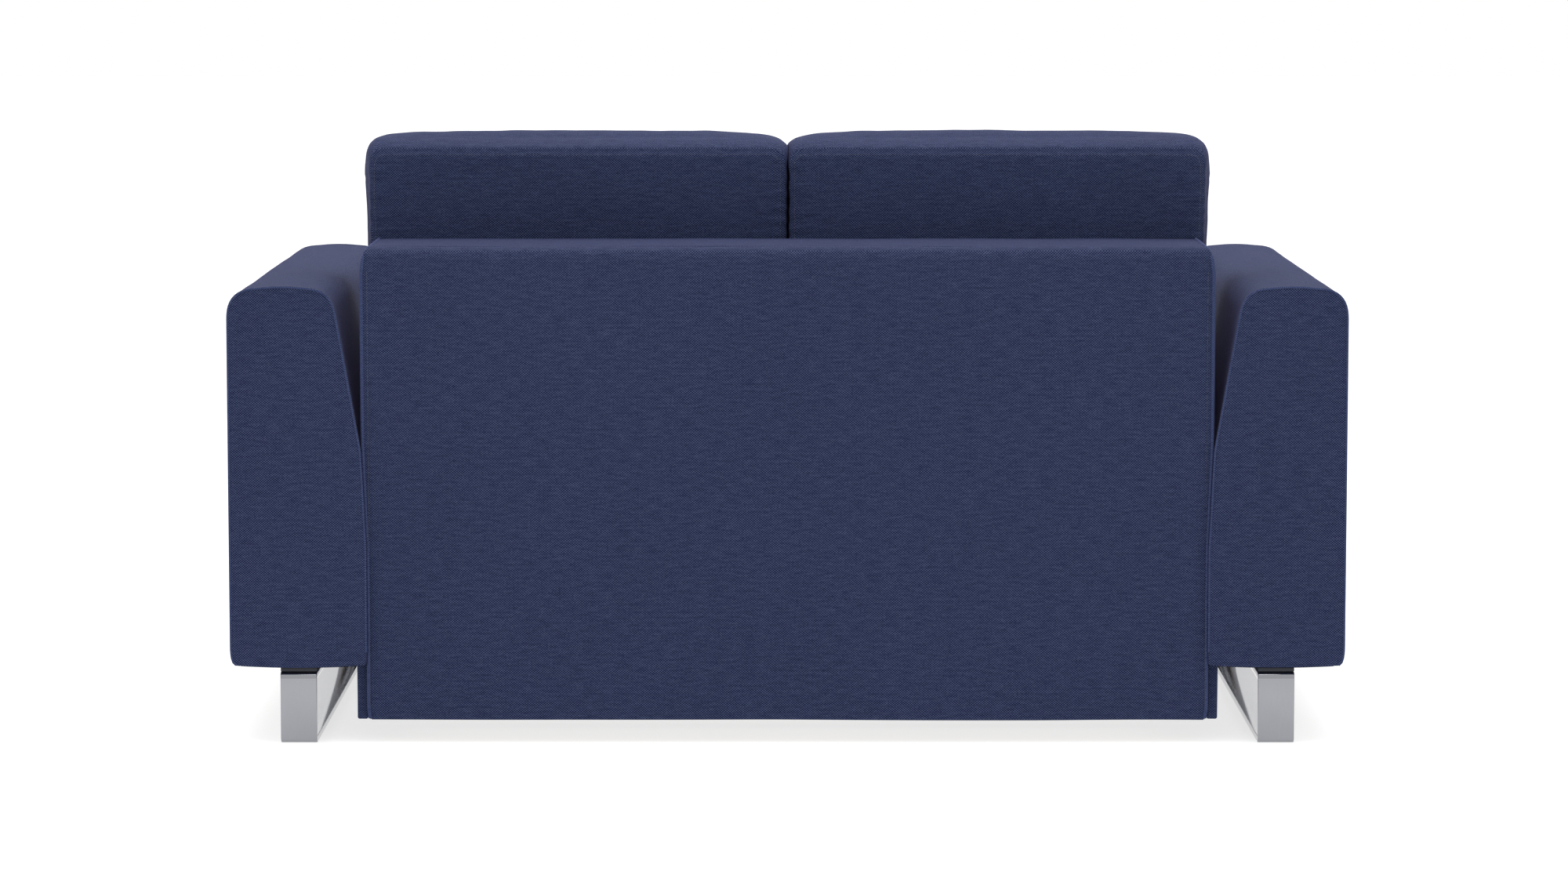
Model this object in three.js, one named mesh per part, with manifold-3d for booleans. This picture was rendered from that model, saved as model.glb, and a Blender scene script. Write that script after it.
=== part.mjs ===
// Two-seat sofa bed with sled legs. The seat and back fold out together over the front edge.
// Millimetres, +Z up, +X to the right, the front faces -Y. The origin is on the floor, under the middle.

import * as THREE from 'three';
import { mergeVertices } from 'three/addons/utils/BufferGeometryUtils.js';
import Module from 'manifold-3d';

const wasm = await Module();
wasm.setup();

// ---------- driving dimensions ----------

const CLEARANCE = 0.3;            // between pieces that touch
const RUNNING = 0.5;              // round a shaft or pin that turns in a hole, on the radius

const OVERALL_WIDTH = 1580;
const OVERALL_DEPTH = 940;
const BODY_BOTTOM_Z = 32;         // lower edge of the upholstered body

const ARM_WIDTH = 193.5;
const ARM_BOTTOM_Z = 108;
const ARM_TOP_Z = 650;
const ARM_KNEE_Z = 417;           // above this height the inner side leans outward
const ARM_KNEE_SET = 6.5;         // how far the knee lies outside the lower inner side
const ARM_SHOULDER_SET = 40.5;    // how far the shoulder lies outside it
const ARM_SHOULDER_DROP = 39;     // the shoulder's height below the arm's top
const ARM_WALL = 12;              // upholstery over the arm's frame
const ARM_BOARD = 18;             // boards of the arm's frame

const SIDE_BOARD = 15.2;          // fabric-covered board on each arm's inner side
const SIDE_BOARD_TOP_Z = 400;
const SIDE_BOARD_SETBACK = 19;    // from the arm's front and rear faces

const LEG_WIDTH = 51.5;           // flat bar of the sled leg
const LEG_BAR = 9;
const LEG_BEND = 7;               // outer radius of the bar's bends
const LEG_OUTSET = 70.5;          // arm's outer face to the leg's outer edge
const LEG_SETBACK = 2;
const LEG_PAD = 6;
const LEG_PAD_LENGTH = 90;

const REAR_BOARD = 11;
const REAR_COVER = 11.7;
const REAR_RECESS = 7;            // rear panel behind the arms' rear faces
const LEDGE_Z = 705;
const LEDGE_ROUND = 22;           // rounding of the rear panel's top edge
const PANEL_SIDE_GAP = 0.5;
const PANEL_SPREAD = 6;           // the panel is this much wider on each side above the knee

const FRONT_RAIL = 12;
const FRONT_RAIL_GAP = 1;         // from its top to the turned seat cushions

const RAIL_WIDTH = 25;            // side rails of the welded frames
const FRAME_BAR = 22;             // height of the welded frames
const DECK = 2.7;                 // mattress support
const FRAME_GAP = 2;              // from the crossbars up to the head frame
const MATTRESS = 119.4;
const MATTRESS_INSET = 15.5;      // from the frames' sides
const HINGE_PLATE = 5;
const HINGE_NOSE = 12;            // radius of a hinge plate round its pin
const PIN_RADIUS = 5;
const PIN_HEAD_RADIUS = 8;
const PIN_HEAD = 2;

const SEAT_HINGE_SETBACK = 30;    // from the body's front face to the front hinge
const SEAT_HINGE_SET = 2;         // from the front hinge to the seat frame and mattress
const HEAD_REAR_GAP = 5;

const LINK_SWING = 16;            // degrees below and above level
const LINK_PIN_SETBACK = 28.5;    // from the head frame's front to the front links' shaft
const LINK_PIN_HEIGHT = 12;       // of both shafts above the head frame's lower side
const LINK_END_GAP = 40;          // from the rear pivots to the rear board
const LINK_WIDTH = 30;
const LINK_BAR = 6;
const LINK_GAP = 2.5;             // between the rear links and the front links, which pass outside them
const LINK_PLAY = 5;              // between the front links and the side plates
const SHAFT_RADIUS = 8;
const STUD_RADIUS = 6;
const STUD_HEAD_RADIUS = 10;
const SIDE_PLATE = 5.7;
const SIDE_PLATE_TOP = 26;        // plate above the pivots

const CROSSBAR_WIDTH = 60;
const CROSSBAR_SHARE = 0.4317;    // the front one's middle, of the way between the links' shafts
const CROSSBAR_SETBACK = 140;     // the rear one, from the body's rear face
const CROSSBAR = 6;

const SEAT_CUSHION = 126.7;
const SEAT_CUSHION_INSET = 0.5;   // from the frames' sides
const SEAT_CUSHION_ROUND = 20;
const SEAT_CUSHION_NOSE = 45;     // radius of the front upper edge
const CUSHION_GAP = 6;            // between the left and right cushions
const SOFT_GAP = 3;               // between padded pieces and what they lie against
const VALANCE_SIDE_GAP = 2;       // to the head frame's hinge plates
const VALANCE_GAP = 3;            // to the front rail

const BACK_CUSHION = 180;
const BACK_CUSHION_TOP_Z = 858;
const BACK_CUSHION_SPREAD = 11.5; // back cushions reach this far over the arms' inner sides
const BACK_CUSHION_FOOT = 3.5;    // and this far at their bottom
const BACK_CUSHION_ROUND = 30;
const CAP = 22;                   // thickness of the padded cap behind the back cushions
const BACK_PAD = 22;              // padded board that carries the back cushions
const BACK_FRAME_FOOT = 15;       // from the back hinge up to the back frame

const FOOT_TUBE_WIDTH = 16;
const FOOT_TUBE_DEPTH = 20;
const FOOT_TUBE_GAP = 1.5;        // from the hinge pins' heads to the tube
const FOOT_GLIDE = 12;

// ---------- places worked out from them ----------

const OUTER_X = OVERALL_WIDTH / 2;
const INNER_X = OUTER_X - ARM_WIDTH;
const SIDE_PLATE_X = INNER_X - CLEARANCE - SIDE_PLATE;
const FRONT_LINK_X = SIDE_PLATE_X - LINK_PLAY - LINK_BAR;
const REAR_LINK_X = FRONT_LINK_X - LINK_GAP - LINK_BAR;
const RAIL_X = REAR_LINK_X - RUNNING - HINGE_PLATE;
const MATTRESS_X = RAIL_X - MATTRESS_INSET;
const VALANCE_X = RAIL_X - HINGE_PLATE - VALANCE_SIDE_GAP;
const FOOT_TUBE_X = RAIL_X + HINGE_PLATE + 1 + PIN_HEAD + FOOT_TUBE_GAP;

const FRONT_Y = -OVERALL_DEPTH / 2;
const REAR_Y = OVERALL_DEPTH / 2;
const PANEL_Y = REAR_Y - REAR_RECESS;
const BOARD_Y = PANEL_Y - REAR_COVER;
const BOARD_FRONT_Y = BOARD_Y - REAR_BOARD - CLEARANCE;
const STOW_REAR_Y = BOARD_FRONT_Y - HEAD_REAR_GAP;
const FOLD_Y = FRONT_Y + SEAT_HINGE_SETBACK;
const SEAT_FRONT_Y = FOLD_Y + SEAT_HINGE_SET;
const HEAD_FRONT_Y = FOLD_Y + SEAT_HINGE_SETBACK + SEAT_HINGE_SET;
const FOOT_MATTRESS_Y = STOW_REAR_Y - CLEARANCE - MATTRESS;
const BACK_DECK_Y = FOOT_MATTRESS_Y - CLEARANCE - DECK;
const BACK_Y = BACK_DECK_Y - CLEARANCE - FRAME_BAR;
const BACK_FACE_Y = BACK_Y - BACK_PAD - SOFT_GAP;
const CAP_REAR_Y = BOARD_FRONT_Y - 2;

const FRAME_BOTTOM_Z = BODY_BOTTOM_Z + CROSSBAR + FRAME_GAP;
const HEAD_DECK_Z = FRAME_BOTTOM_Z + FRAME_BAR + CLEARANCE;
const HEAD_BED_Z = HEAD_DECK_Z + DECK + CLEARANCE;
const FOLD_Z = HEAD_BED_Z + MATTRESS + CLEARANCE;
const FRONT_RAIL_TOP_Z = FOLD_Z - FRONT_RAIL_GAP;
const VALANCE_BOTTOM_Z = FRONT_RAIL_TOP_Z + VALANCE_GAP;
const SEAT_DECK_Z = FOLD_Z + MATTRESS + 2 * CLEARANCE;
const SEAT_FRAME_Z = SEAT_DECK_Z + DECK + CLEARANCE;
const BACK_Z = SEAT_FRAME_Z + FRAME_BAR;
const SEAT_CUSHION_Z = BACK_Z + SOFT_GAP + CLEARANCE;
const SEAT_TOP_Z = SEAT_CUSHION_Z + SEAT_CUSHION;
const BACK_CUSHION_Z = SEAT_TOP_Z + SOFT_GAP;
const CAP_BOTTOM_Z = LEDGE_Z - CAP;
const BACK_TOP_Z = CAP_BOTTOM_Z - SOFT_GAP;

// The lift puts the turned seat cushions just above the front rail, and the turned seat's mattress
// level with the head section's.
const LIFT = SEAT_TOP_Z - FOLD_Z;
const PIVOT_REACH = LIFT / 2 / Math.tan(THREE.MathUtils.degToRad(LINK_SWING));
const LINK_FRONT_Y = HEAD_FRONT_Y + LINK_PIN_SETBACK;
const LINK_SPACING = BOARD_FRONT_Y - LINK_END_GAP - PIVOT_REACH - LINK_FRONT_Y;
const LINK_LOW_Z = FRAME_BOTTOM_Z + LINK_PIN_HEIGHT;
const LINK_PIVOT_Z = LINK_LOW_Z + LIFT / 2;
const FOOT_REACH = BACK_Z - 2 * (BACK_Z - FOLD_Z) + LIFT;

// ---------- materials ----------

const material = (color, roughness, metalness) =>
  new THREE.MeshStandardMaterial({ color, roughness, metalness });

const navyFabric = material(0x32395a, 0.9, 0);
const satinSteel = material(0xa3a4a9, 0.3, 1);
const darkSteel = material(0x2b2d31, 0.5, 0.6);
const zincSteel = material(0x8b8f94, 0.4, 0.9);
const blackPlastic = material(0x17181b, 0.6, 0);
const plywood = material(0xc8a878, 0.7, 0);
const deckMesh = material(0x5a5d63, 0.6, 0.4);
const ticking = material(0xe4e2dc, 0.9, 0);

// ---------- helpers ----------

const sofaBed = new THREE.Group();

function addPiece(name, geometry, finish) {
  const mesh = new THREE.Mesh(geometry, finish);
  mesh.name = name;
  sofaBed.add(mesh);
}

function box(x0, x1, y0, y1, z0, z1) {
  const geometry = new THREE.BoxGeometry(Math.abs(x1 - x0), y1 - y0, z1 - z0);
  geometry.translate((x0 + x1) / 2, (y0 + y1) / 2, (z0 + z1) / 2);
  return geometry;
}

// A shape in the (x, z) plane, extruded from y0 to y1.
function alongY(shape, y0, y1, curveSegments = 6) {
  const geometry = new THREE.ExtrudeGeometry(shape, {
    depth: y1 - y0,
    bevelEnabled: false,
    curveSegments,
  });
  geometry.rotateX(Math.PI / 2);
  geometry.translate(0, y1, 0);
  return geometry;
}

// A shape in the (y, z) plane, extruded from x0 to x1.
function alongX(shape, x0, x1, curveSegments = 6) {
  const geometry = new THREE.ExtrudeGeometry(shape, {
    depth: Math.abs(x1 - x0),
    bevelEnabled: false,
    curveSegments,
  });
  geometry.rotateY(Math.PI / 2);
  geometry.rotateX(Math.PI / 2);
  geometry.translate(Math.min(x0, x1), 0, 0);
  return geometry;
}

// A cylinder along X, centred on (y, z).
function rod(x0, x1, y, z, radius, sides = 24) {
  const geometry = new THREE.CylinderGeometry(radius, radius, Math.abs(x1 - x0), sides);
  geometry.rotateZ(Math.PI / 2);
  geometry.translate((x0 + x1) / 2, y, z);
  return geometry;
}

function toSolid(geometry) {
  const bare = geometry.clone();
  bare.deleteAttribute('normal');
  bare.deleteAttribute('uv');
  const merged = mergeVertices(bare, 1e-4);
  return new wasm.Manifold(new wasm.Mesh({
    numProp: 3,
    vertProperties: new Float32Array(merged.attributes.position.array),
    triVerts: new Uint32Array(merged.index.array),
  }));
}

function fromSolid(solid) {
  const mesh = solid.getMesh();
  const geometry = new THREE.BufferGeometry();
  geometry.setAttribute('position', new THREE.BufferAttribute(mesh.vertProperties, 3));
  geometry.setIndex(new THREE.BufferAttribute(mesh.triVerts, 1));
  return geometry;
}

// The first geometries joined, less the others.
function joinAndCut(joined, cut = []) {
  let solid = toSolid(joined[0]);
  for (const geometry of joined.slice(1)) {
    solid = solid.add(toSolid(geometry));
  }
  for (const geometry of cut) {
    solid = solid.subtract(toSolid(geometry));
  }
  return fromSolid(solid);
}

function outline(points) {
  const shape = new THREE.Shape();
  points.forEach(([a, b], i) => (i ? shape.lineTo(a, b) : shape.moveTo(a, b)));
  shape.closePath();
  return shape;
}

// A rectangle with rounded corners, a being the first axis and b the second.
function roundedRect(a0, a1, b0, b1, radius) {
  const shape = new THREE.Shape();
  shape.moveTo(a0 + radius, b0);
  shape.lineTo(a1 - radius, b0);
  shape.absarc(a1 - radius, b0 + radius, radius, -Math.PI / 2, 0);
  shape.lineTo(a1, b1 - radius);
  shape.absarc(a1 - radius, b1 - radius, radius, 0, Math.PI / 2);
  shape.lineTo(a0 + radius, b1);
  shape.absarc(a0 + radius, b1 - radius, radius, Math.PI / 2, Math.PI);
  shape.lineTo(a0, b0 + radius);
  shape.absarc(a0 + radius, b0 + radius, radius, Math.PI, 1.5 * Math.PI);
  return shape;
}

// The pieces of one side: sign is -1 on the left and 1 on the right.
const SIDES = [['left', -1], ['right', 1]];

// ---------- arms, side boards and legs ----------

// The arm's section, drawn inset mm inside its outside, down to the height bottom.
function armSection(sign, inset, bottom) {
  const inner = INNER_X + inset;
  const outer = OUTER_X - inset;
  const top = ARM_TOP_Z - inset;
  const crown = top - 2;
  const shoulderZ = ARM_TOP_Z - ARM_SHOULDER_DROP;
  const shoulder = inner + ARM_SHOULDER_SET;
  const shape = new THREE.Shape();
  shape.moveTo(sign * inner, bottom);
  shape.lineTo(sign * (outer - 8), bottom);
  shape.quadraticCurveTo(sign * outer, bottom + 4, sign * outer, bottom + 30);
  shape.lineTo(sign * outer, shoulderZ - 5);
  shape.quadraticCurveTo(sign * outer, crown, sign * (outer - 45), crown);
  shape.quadraticCurveTo(sign * (outer - 77), top + 2, sign * (shoulder + 43), crown);
  shape.quadraticCurveTo(sign * (shoulder + 6), crown, sign * shoulder, shoulderZ);
  shape.lineTo(sign * (inner + ARM_KNEE_SET), ARM_KNEE_Z);
  shape.lineTo(sign * inner, ARM_KNEE_Z - 139);
  shape.closePath();
  return shape;
}

function addArm(side, sign) {
  const boardTop = SIDE_BOARD_TOP_Z + CLEARANCE;
  const boardY = REAR_Y - SIDE_BOARD_SETBACK + CLEARANCE;
  const boardX = INNER_X + SIDE_BOARD + CLEARANCE;
  const hollow = ARM_WALL + SIDE_BOARD;
  const coreTop = ARM_TOP_Z - ARM_WALL - 14;
  const core0 = boardX + ARM_WALL;
  const core1 = OUTER_X - ARM_WALL - CLEARANCE;
  const coreY = REAR_Y - hollow;
  const shoulderX = INNER_X + ARM_SHOULDER_SET + ARM_WALL;

  addPiece(`arm_cover_${side}`, joinAndCut(
    [alongY(armSection(sign, 0, ARM_BOTTOM_Z), FRONT_Y, REAR_Y)],
    [
      box(sign * (INNER_X - 10), sign * boardX, -boardY, boardY, 0, boardTop),
      box(sign * (core0 - CLEARANCE), sign * (core1 + CLEARANCE), -coreY - CLEARANCE,
        coreY + CLEARANCE, 0, ARM_KNEE_Z - ARM_WALL),
      box(sign * (shoulderX - CLEARANCE), sign * (core1 + CLEARANCE), -coreY - CLEARANCE,
        coreY + CLEARANCE, ARM_KNEE_Z - ARM_WALL - 1, coreTop + CLEARANCE),
    ],
  ), navyFabric);

  const core = [
    box(sign * core0, sign * core1, -coreY, coreY, ARM_BOTTOM_Z, ARM_BOTTOM_Z + ARM_BOARD),
    box(sign * shoulderX, sign * core1, -coreY, coreY, coreTop - ARM_BOARD, coreTop),
  ];
  for (const y of [-coreY, -ARM_BOARD / 2, coreY - ARM_BOARD]) {
    core.push(box(sign * core0, sign * core1, y, y + ARM_BOARD, ARM_BOTTOM_Z,
      ARM_KNEE_Z - ARM_WALL - CLEARANCE));
    core.push(box(sign * shoulderX, sign * core1, y, y + ARM_BOARD, ARM_BOTTOM_Z, coreTop));
  }
  addPiece(`arm_frame_${side}`, joinAndCut(core), plywood);

  addPiece(`side_board_${side}`, box(sign * INNER_X, sign * (INNER_X + SIDE_BOARD),
    FRONT_Y + SIDE_BOARD_SETBACK, REAR_Y - SIDE_BOARD_SETBACK, BODY_BOTTOM_Z,
    SIDE_BOARD_TOP_Z), navyFabric);
}

function addLeg(side, sign) {
  const top = ARM_BOTTOM_Z - CLEARANCE - LEG_PAD - CLEARANCE;
  const x1 = OUTER_X - LEG_OUTSET;
  const x0 = x1 - LEG_WIDTH;
  const reach = REAR_Y - LEG_SETBACK;
  const loop = roundedRect(-reach, reach, 0, top, LEG_BEND);
  loop.holes.push(roundedRect(-reach + LEG_BAR, reach - LEG_BAR, LEG_BAR, top - LEG_BAR,
    LEG_BEND / 3));
  addPiece(`sled_leg_${side}`, alongX(loop, sign * x0, sign * x1, 4), satinSteel);

  for (const [end, y] of [['front', -reach + 6], ['rear', reach - 6 - LEG_PAD_LENGTH]]) {
    addPiece(`leg_pad_${side}_${end}`, box(sign * x0, sign * x1, y, y + LEG_PAD_LENGTH,
      top + CLEARANCE, top + CLEARANCE + LEG_PAD), blackPlastic);
  }
}

// ---------- rear panel, front rail and base ----------

function addRearPanel() {
  const half = INNER_X - PANEL_SIDE_GAP;
  const boardTop = LEDGE_Z - 15;
  addPiece('rear_board', box(-half + 6, half - 6, BOARD_FRONT_Y, BOARD_Y - CLEARANCE,
    BODY_BOTTOM_Z + 3, boardTop - CLEARANCE), plywood);

  const section = new THREE.Shape();
  section.moveTo(BOARD_Y, BODY_BOTTOM_Z);
  section.lineTo(PANEL_Y, BODY_BOTTOM_Z);
  section.lineTo(PANEL_Y, LEDGE_Z - LEDGE_ROUND);
  section.quadraticCurveTo(PANEL_Y, LEDGE_Z, PANEL_Y - LEDGE_ROUND, LEDGE_Z);
  section.lineTo(BOARD_FRONT_Y, LEDGE_Z);
  section.lineTo(BOARD_FRONT_Y, boardTop);
  section.lineTo(BOARD_Y, boardTop);
  section.closePath();
  const face = outline([
    [-half + 5, BODY_BOTTOM_Z - 1], [half - 5, BODY_BOTTOM_Z - 1], [half, BODY_BOTTOM_Z + 5],
    [half, ARM_KNEE_Z - 15], [half + PANEL_SPREAD, ARM_KNEE_Z + 15],
    [half + PANEL_SPREAD, LEDGE_Z - 40], [half - 8, LEDGE_Z + 1], [-half + 8, LEDGE_Z + 1],
    [-half - PANEL_SPREAD, LEDGE_Z - 40], [-half - PANEL_SPREAD, ARM_KNEE_Z + 15],
    [-half, ARM_KNEE_Z - 15], [-half, BODY_BOTTOM_Z + 5],
  ]);
  const wrap = toSolid(alongX(section, -OUTER_X, OUTER_X));
  const trimmed = wrap.intersect(toSolid(alongY(face, 0, OVERALL_DEPTH)));
  addPiece('rear_cover', fromSolid(trimmed), navyFabric);
}

function addFrontRail() {
  const half = INNER_X - PANEL_SIDE_GAP;
  addPiece('front_rail', box(-half, half, FRONT_Y, FRONT_Y + FRONT_RAIL, BODY_BOTTOM_Z,
    FRONT_RAIL_TOP_Z), navyFabric);
}

// Each plate carries the two fixed pivots of the lift links, the rear one on a longer stud.
function addSidePlate(side, sign) {
  const outside = SIDE_PLATE_X + SIDE_PLATE;
  const front = LINK_FRONT_Y + PIVOT_REACH;
  const rear = front + LINK_SPACING;
  const top = LINK_PIVOT_Z + SIDE_PLATE_TOP;
  const plate = outline([
    [LINK_FRONT_Y + 60, BODY_BOTTOM_Z], [rear + 30, BODY_BOTTOM_Z], [rear + 30, top],
    [front - 40, top], [LINK_FRONT_Y + 60, BODY_BOTTOM_Z + 60],
  ]);
  const pieces = [alongX(plate, sign * SIDE_PLATE_X, sign * outside)];
  const headEnd = LINK_GAP - 2 * RUNNING;
  for (const [y, linkX] of [[front, FRONT_LINK_X], [rear, REAR_LINK_X]]) {
    const head = linkX - RUNNING;
    pieces.push(rod(sign * head, sign * (outside - 1), y, LINK_PIVOT_Z, STUD_RADIUS));
    pieces.push(rod(sign * (head - headEnd), sign * head, y, LINK_PIVOT_Z, STUD_HEAD_RADIUS));
  }
  addPiece(`mechanism_plate_${side}`, joinAndCut(pieces), darkSteel);
}

// The front crossbar passes between the lower ends of the front and rear links.
function addCrossbars() {
  const between = LINK_FRONT_Y + CROSSBAR_SHARE * LINK_SPACING - CROSSBAR_WIDTH / 2;
  const behind = REAR_Y - CROSSBAR_SETBACK - CROSSBAR_WIDTH;
  for (const [end, y] of [['front', between], ['rear', behind]]) {
    addPiece(`base_crossbar_${end}`, box(-SIDE_PLATE_X + CLEARANCE, SIDE_PLATE_X - CLEARANCE, y,
      y + CROSSBAR_WIDTH, BODY_BOTTOM_Z, BODY_BOTTOM_Z + CROSSBAR), darkSteel);
  }
}

// ---------- lift links ----------

function linkShape(tipY) {
  const r = LINK_WIDTH / 2;
  const pivotY = tipY + PIVOT_REACH;
  const lean = THREE.MathUtils.degToRad(LINK_SWING);
  const shape = new THREE.Shape();
  shape.absarc(pivotY, LINK_PIVOT_Z, r, lean - Math.PI / 2, lean + Math.PI / 2);
  shape.absarc(tipY, LINK_LOW_Z, r, lean + Math.PI / 2, lean + 1.5 * Math.PI);
  shape.closePath();
  return shape;
}

function addLinks(end, tipY, x0) {
  const x1 = x0 + LINK_BAR;
  for (const [side, sign] of SIDES) {
    addPiece(`${end}_link_${side}`, joinAndCut(
      [alongX(linkShape(tipY), sign * x0, sign * x1, 8)],
      [
        rod(sign * (x0 - 1), sign * (x1 + 1), tipY + PIVOT_REACH, LINK_PIVOT_Z,
          STUD_RADIUS + RUNNING),
        rod(sign * (x0 - 1), sign * (x1 + 1), tipY, LINK_LOW_Z, SHAFT_RADIUS + CLEARANCE),
      ],
    ), zincSteel);
  }
  addPiece(`${end}_link_shaft`, rod(-x1 - 1, x1 + 1, tipY, LINK_LOW_Z, SHAFT_RADIUS), zincSteel);
}

// ---------- head section, which stays level and rises ----------

function addHeadSection() {
  const z0 = FRAME_BOTTOM_Z;
  const z1 = z0 + FRAME_BAR;
  const front = HEAD_FRONT_Y;
  const rear = STOW_REAR_Y;
  const inside = RAIL_X - RAIL_WIDTH;
  const joined = [];
  for (const y of [front, (front + rear) / 2, rear - RAIL_WIDTH]) {
    joined.push(box(-inside - 1, inside + 1, y, y + RAIL_WIDTH * 0.6, z0, z1));
  }
  for (const [, sign] of SIDES) {
    joined.push(box(sign * inside, sign * RAIL_X, front, rear, z0, z1));
    const plateIn = sign * (RAIL_X - HINGE_PLATE);
    const plate = new THREE.Shape();
    plate.moveTo(front, z0);
    plate.lineTo(front + 50, z0);
    plate.lineTo(front + 50, FOLD_Z - 40);
    plate.lineTo(front + 20, FOLD_Z + HINGE_NOSE);
    plate.lineTo(FOLD_Y, FOLD_Z + HINGE_NOSE);
    plate.absarc(FOLD_Y, FOLD_Z, HINGE_NOSE, Math.PI / 2, 1.5 * Math.PI);
    plate.lineTo(front, FOLD_Z - HINGE_NOSE);
    plate.closePath();
    joined.push(alongX(plate, plateIn, sign * RAIL_X));
    const head = RAIL_X + HINGE_PLATE + 1;
    joined.push(rod(plateIn, sign * (head + 1), FOLD_Y, FOLD_Z, PIN_RADIUS));
    joined.push(rod(sign * head, sign * (head + PIN_HEAD), FOLD_Y, FOLD_Z, PIN_HEAD_RADIUS));
  }
  const holes = [LINK_FRONT_Y, LINK_FRONT_Y + LINK_SPACING].map((y) =>
    rod(-OUTER_X, OUTER_X, y, LINK_LOW_Z, SHAFT_RADIUS + RUNNING));
  addPiece('head_frame', joinAndCut(joined, holes), darkSteel);
  addPiece('head_deck', box(-inside - 8, inside + 8, front, rear, HEAD_DECK_Z, HEAD_DECK_Z + DECK),
    deckMesh);
  addPiece('mattress_head', box(-MATTRESS_X, MATTRESS_X, front, rear, HEAD_BED_Z,
    HEAD_BED_Z + MATTRESS), ticking);
}

// ---------- seat section, which turns over about the front hinge ----------

// The seat cushion's side view, with a rounder front upper edge.
function seatCushionSide() {
  const rear = BACK_FACE_Y + BACK_PAD - 2;
  const nose = SEAT_CUSHION_NOSE;
  const r = SEAT_CUSHION_ROUND;
  const shape = new THREE.Shape();
  shape.moveTo(FRONT_Y + r, SEAT_CUSHION_Z);
  shape.lineTo(rear - r, SEAT_CUSHION_Z);
  shape.absarc(rear - r, SEAT_CUSHION_Z + r, r, -Math.PI / 2, 0);
  shape.absarc(rear - r, SEAT_TOP_Z - r, r, 0, Math.PI / 2);
  shape.absarc(FRONT_Y + nose, SEAT_TOP_Z - nose, nose, Math.PI / 2, Math.PI);
  shape.absarc(FRONT_Y + r, SEAT_CUSHION_Z + r, r, Math.PI, 1.5 * Math.PI);
  return shape;
}

function addSeatSection() {
  const z0 = SEAT_FRAME_Z;
  const z1 = BACK_Z;
  const front = SEAT_FRONT_Y;
  const rear = BACK_Y;
  const inside = RAIL_X - RAIL_WIDTH;
  const joined = [];
  for (const y of [front, (front + rear) / 2, rear - RAIL_WIDTH]) {
    joined.push(box(-inside - 1, inside + 1, y, y + RAIL_WIDTH * 0.6, z0, z1));
  }
  const cut = [];
  for (const [, sign] of SIDES) {
    joined.push(box(sign * inside, sign * RAIL_X, front, rear, z0, z1));
    const plate = new THREE.Shape();
    plate.absarc(FOLD_Y, FOLD_Z, HINGE_NOSE, Math.PI, 2 * Math.PI);
    plate.lineTo(FOLD_Y + HINGE_NOSE, z0);
    plate.lineTo(FOLD_Y + 70, z0);
    plate.lineTo(FOLD_Y + 70, z1);
    plate.lineTo(FOLD_Y - HINGE_NOSE, z1);
    plate.closePath();
    joined.push(alongX(plate, sign * (RAIL_X + RUNNING), sign * (RAIL_X + HINGE_PLATE)));
    joined.push(box(sign * (RAIL_X - 1), sign * (RAIL_X + 1), front, FOLD_Y + 70, z0, z1));
    cut.push(rod(sign * RAIL_X, sign * (RAIL_X + 10), FOLD_Y, FOLD_Z, PIN_RADIUS + RUNNING));
    const ear = sign * (RAIL_X - HINGE_PLATE);
    joined.push(rod(ear, sign * RAIL_X, BACK_Y, BACK_Z, HINGE_NOSE));
    const head = RAIL_X + HINGE_PLATE + 1;
    joined.push(rod(ear, sign * (head + 1), BACK_Y, BACK_Z, PIN_RADIUS));
    joined.push(rod(sign * head, sign * (head + PIN_HEAD), BACK_Y, BACK_Z, PIN_HEAD_RADIUS));
  }
  addPiece('seat_frame', joinAndCut(joined, cut), darkSteel);
  addPiece('seat_deck', box(-inside - 8, inside + 8, front, rear - 2, SEAT_DECK_Z,
    SEAT_DECK_Z + DECK), deckMesh);
  addPiece('mattress_middle', box(-MATTRESS_X, MATTRESS_X, front, rear - 2, FOLD_Z + CLEARANCE,
    FOLD_Z + CLEARANCE + MATTRESS), ticking);
  addPiece('seat_valance', box(-VALANCE_X, VALANCE_X, FRONT_Y,
    front - CLEARANCE, VALANCE_BOTTOM_Z, z1), navyFabric);
  for (const [side, sign] of SIDES) {
    addPiece(`seat_cushion_${side}`, alongX(seatCushionSide(), sign * CUSHION_GAP / 2,
      sign * (RAIL_X - SEAT_CUSHION_INSET), 4), navyFabric);
  }
}

// ---------- back section, which opens in line with the seat section ----------

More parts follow.
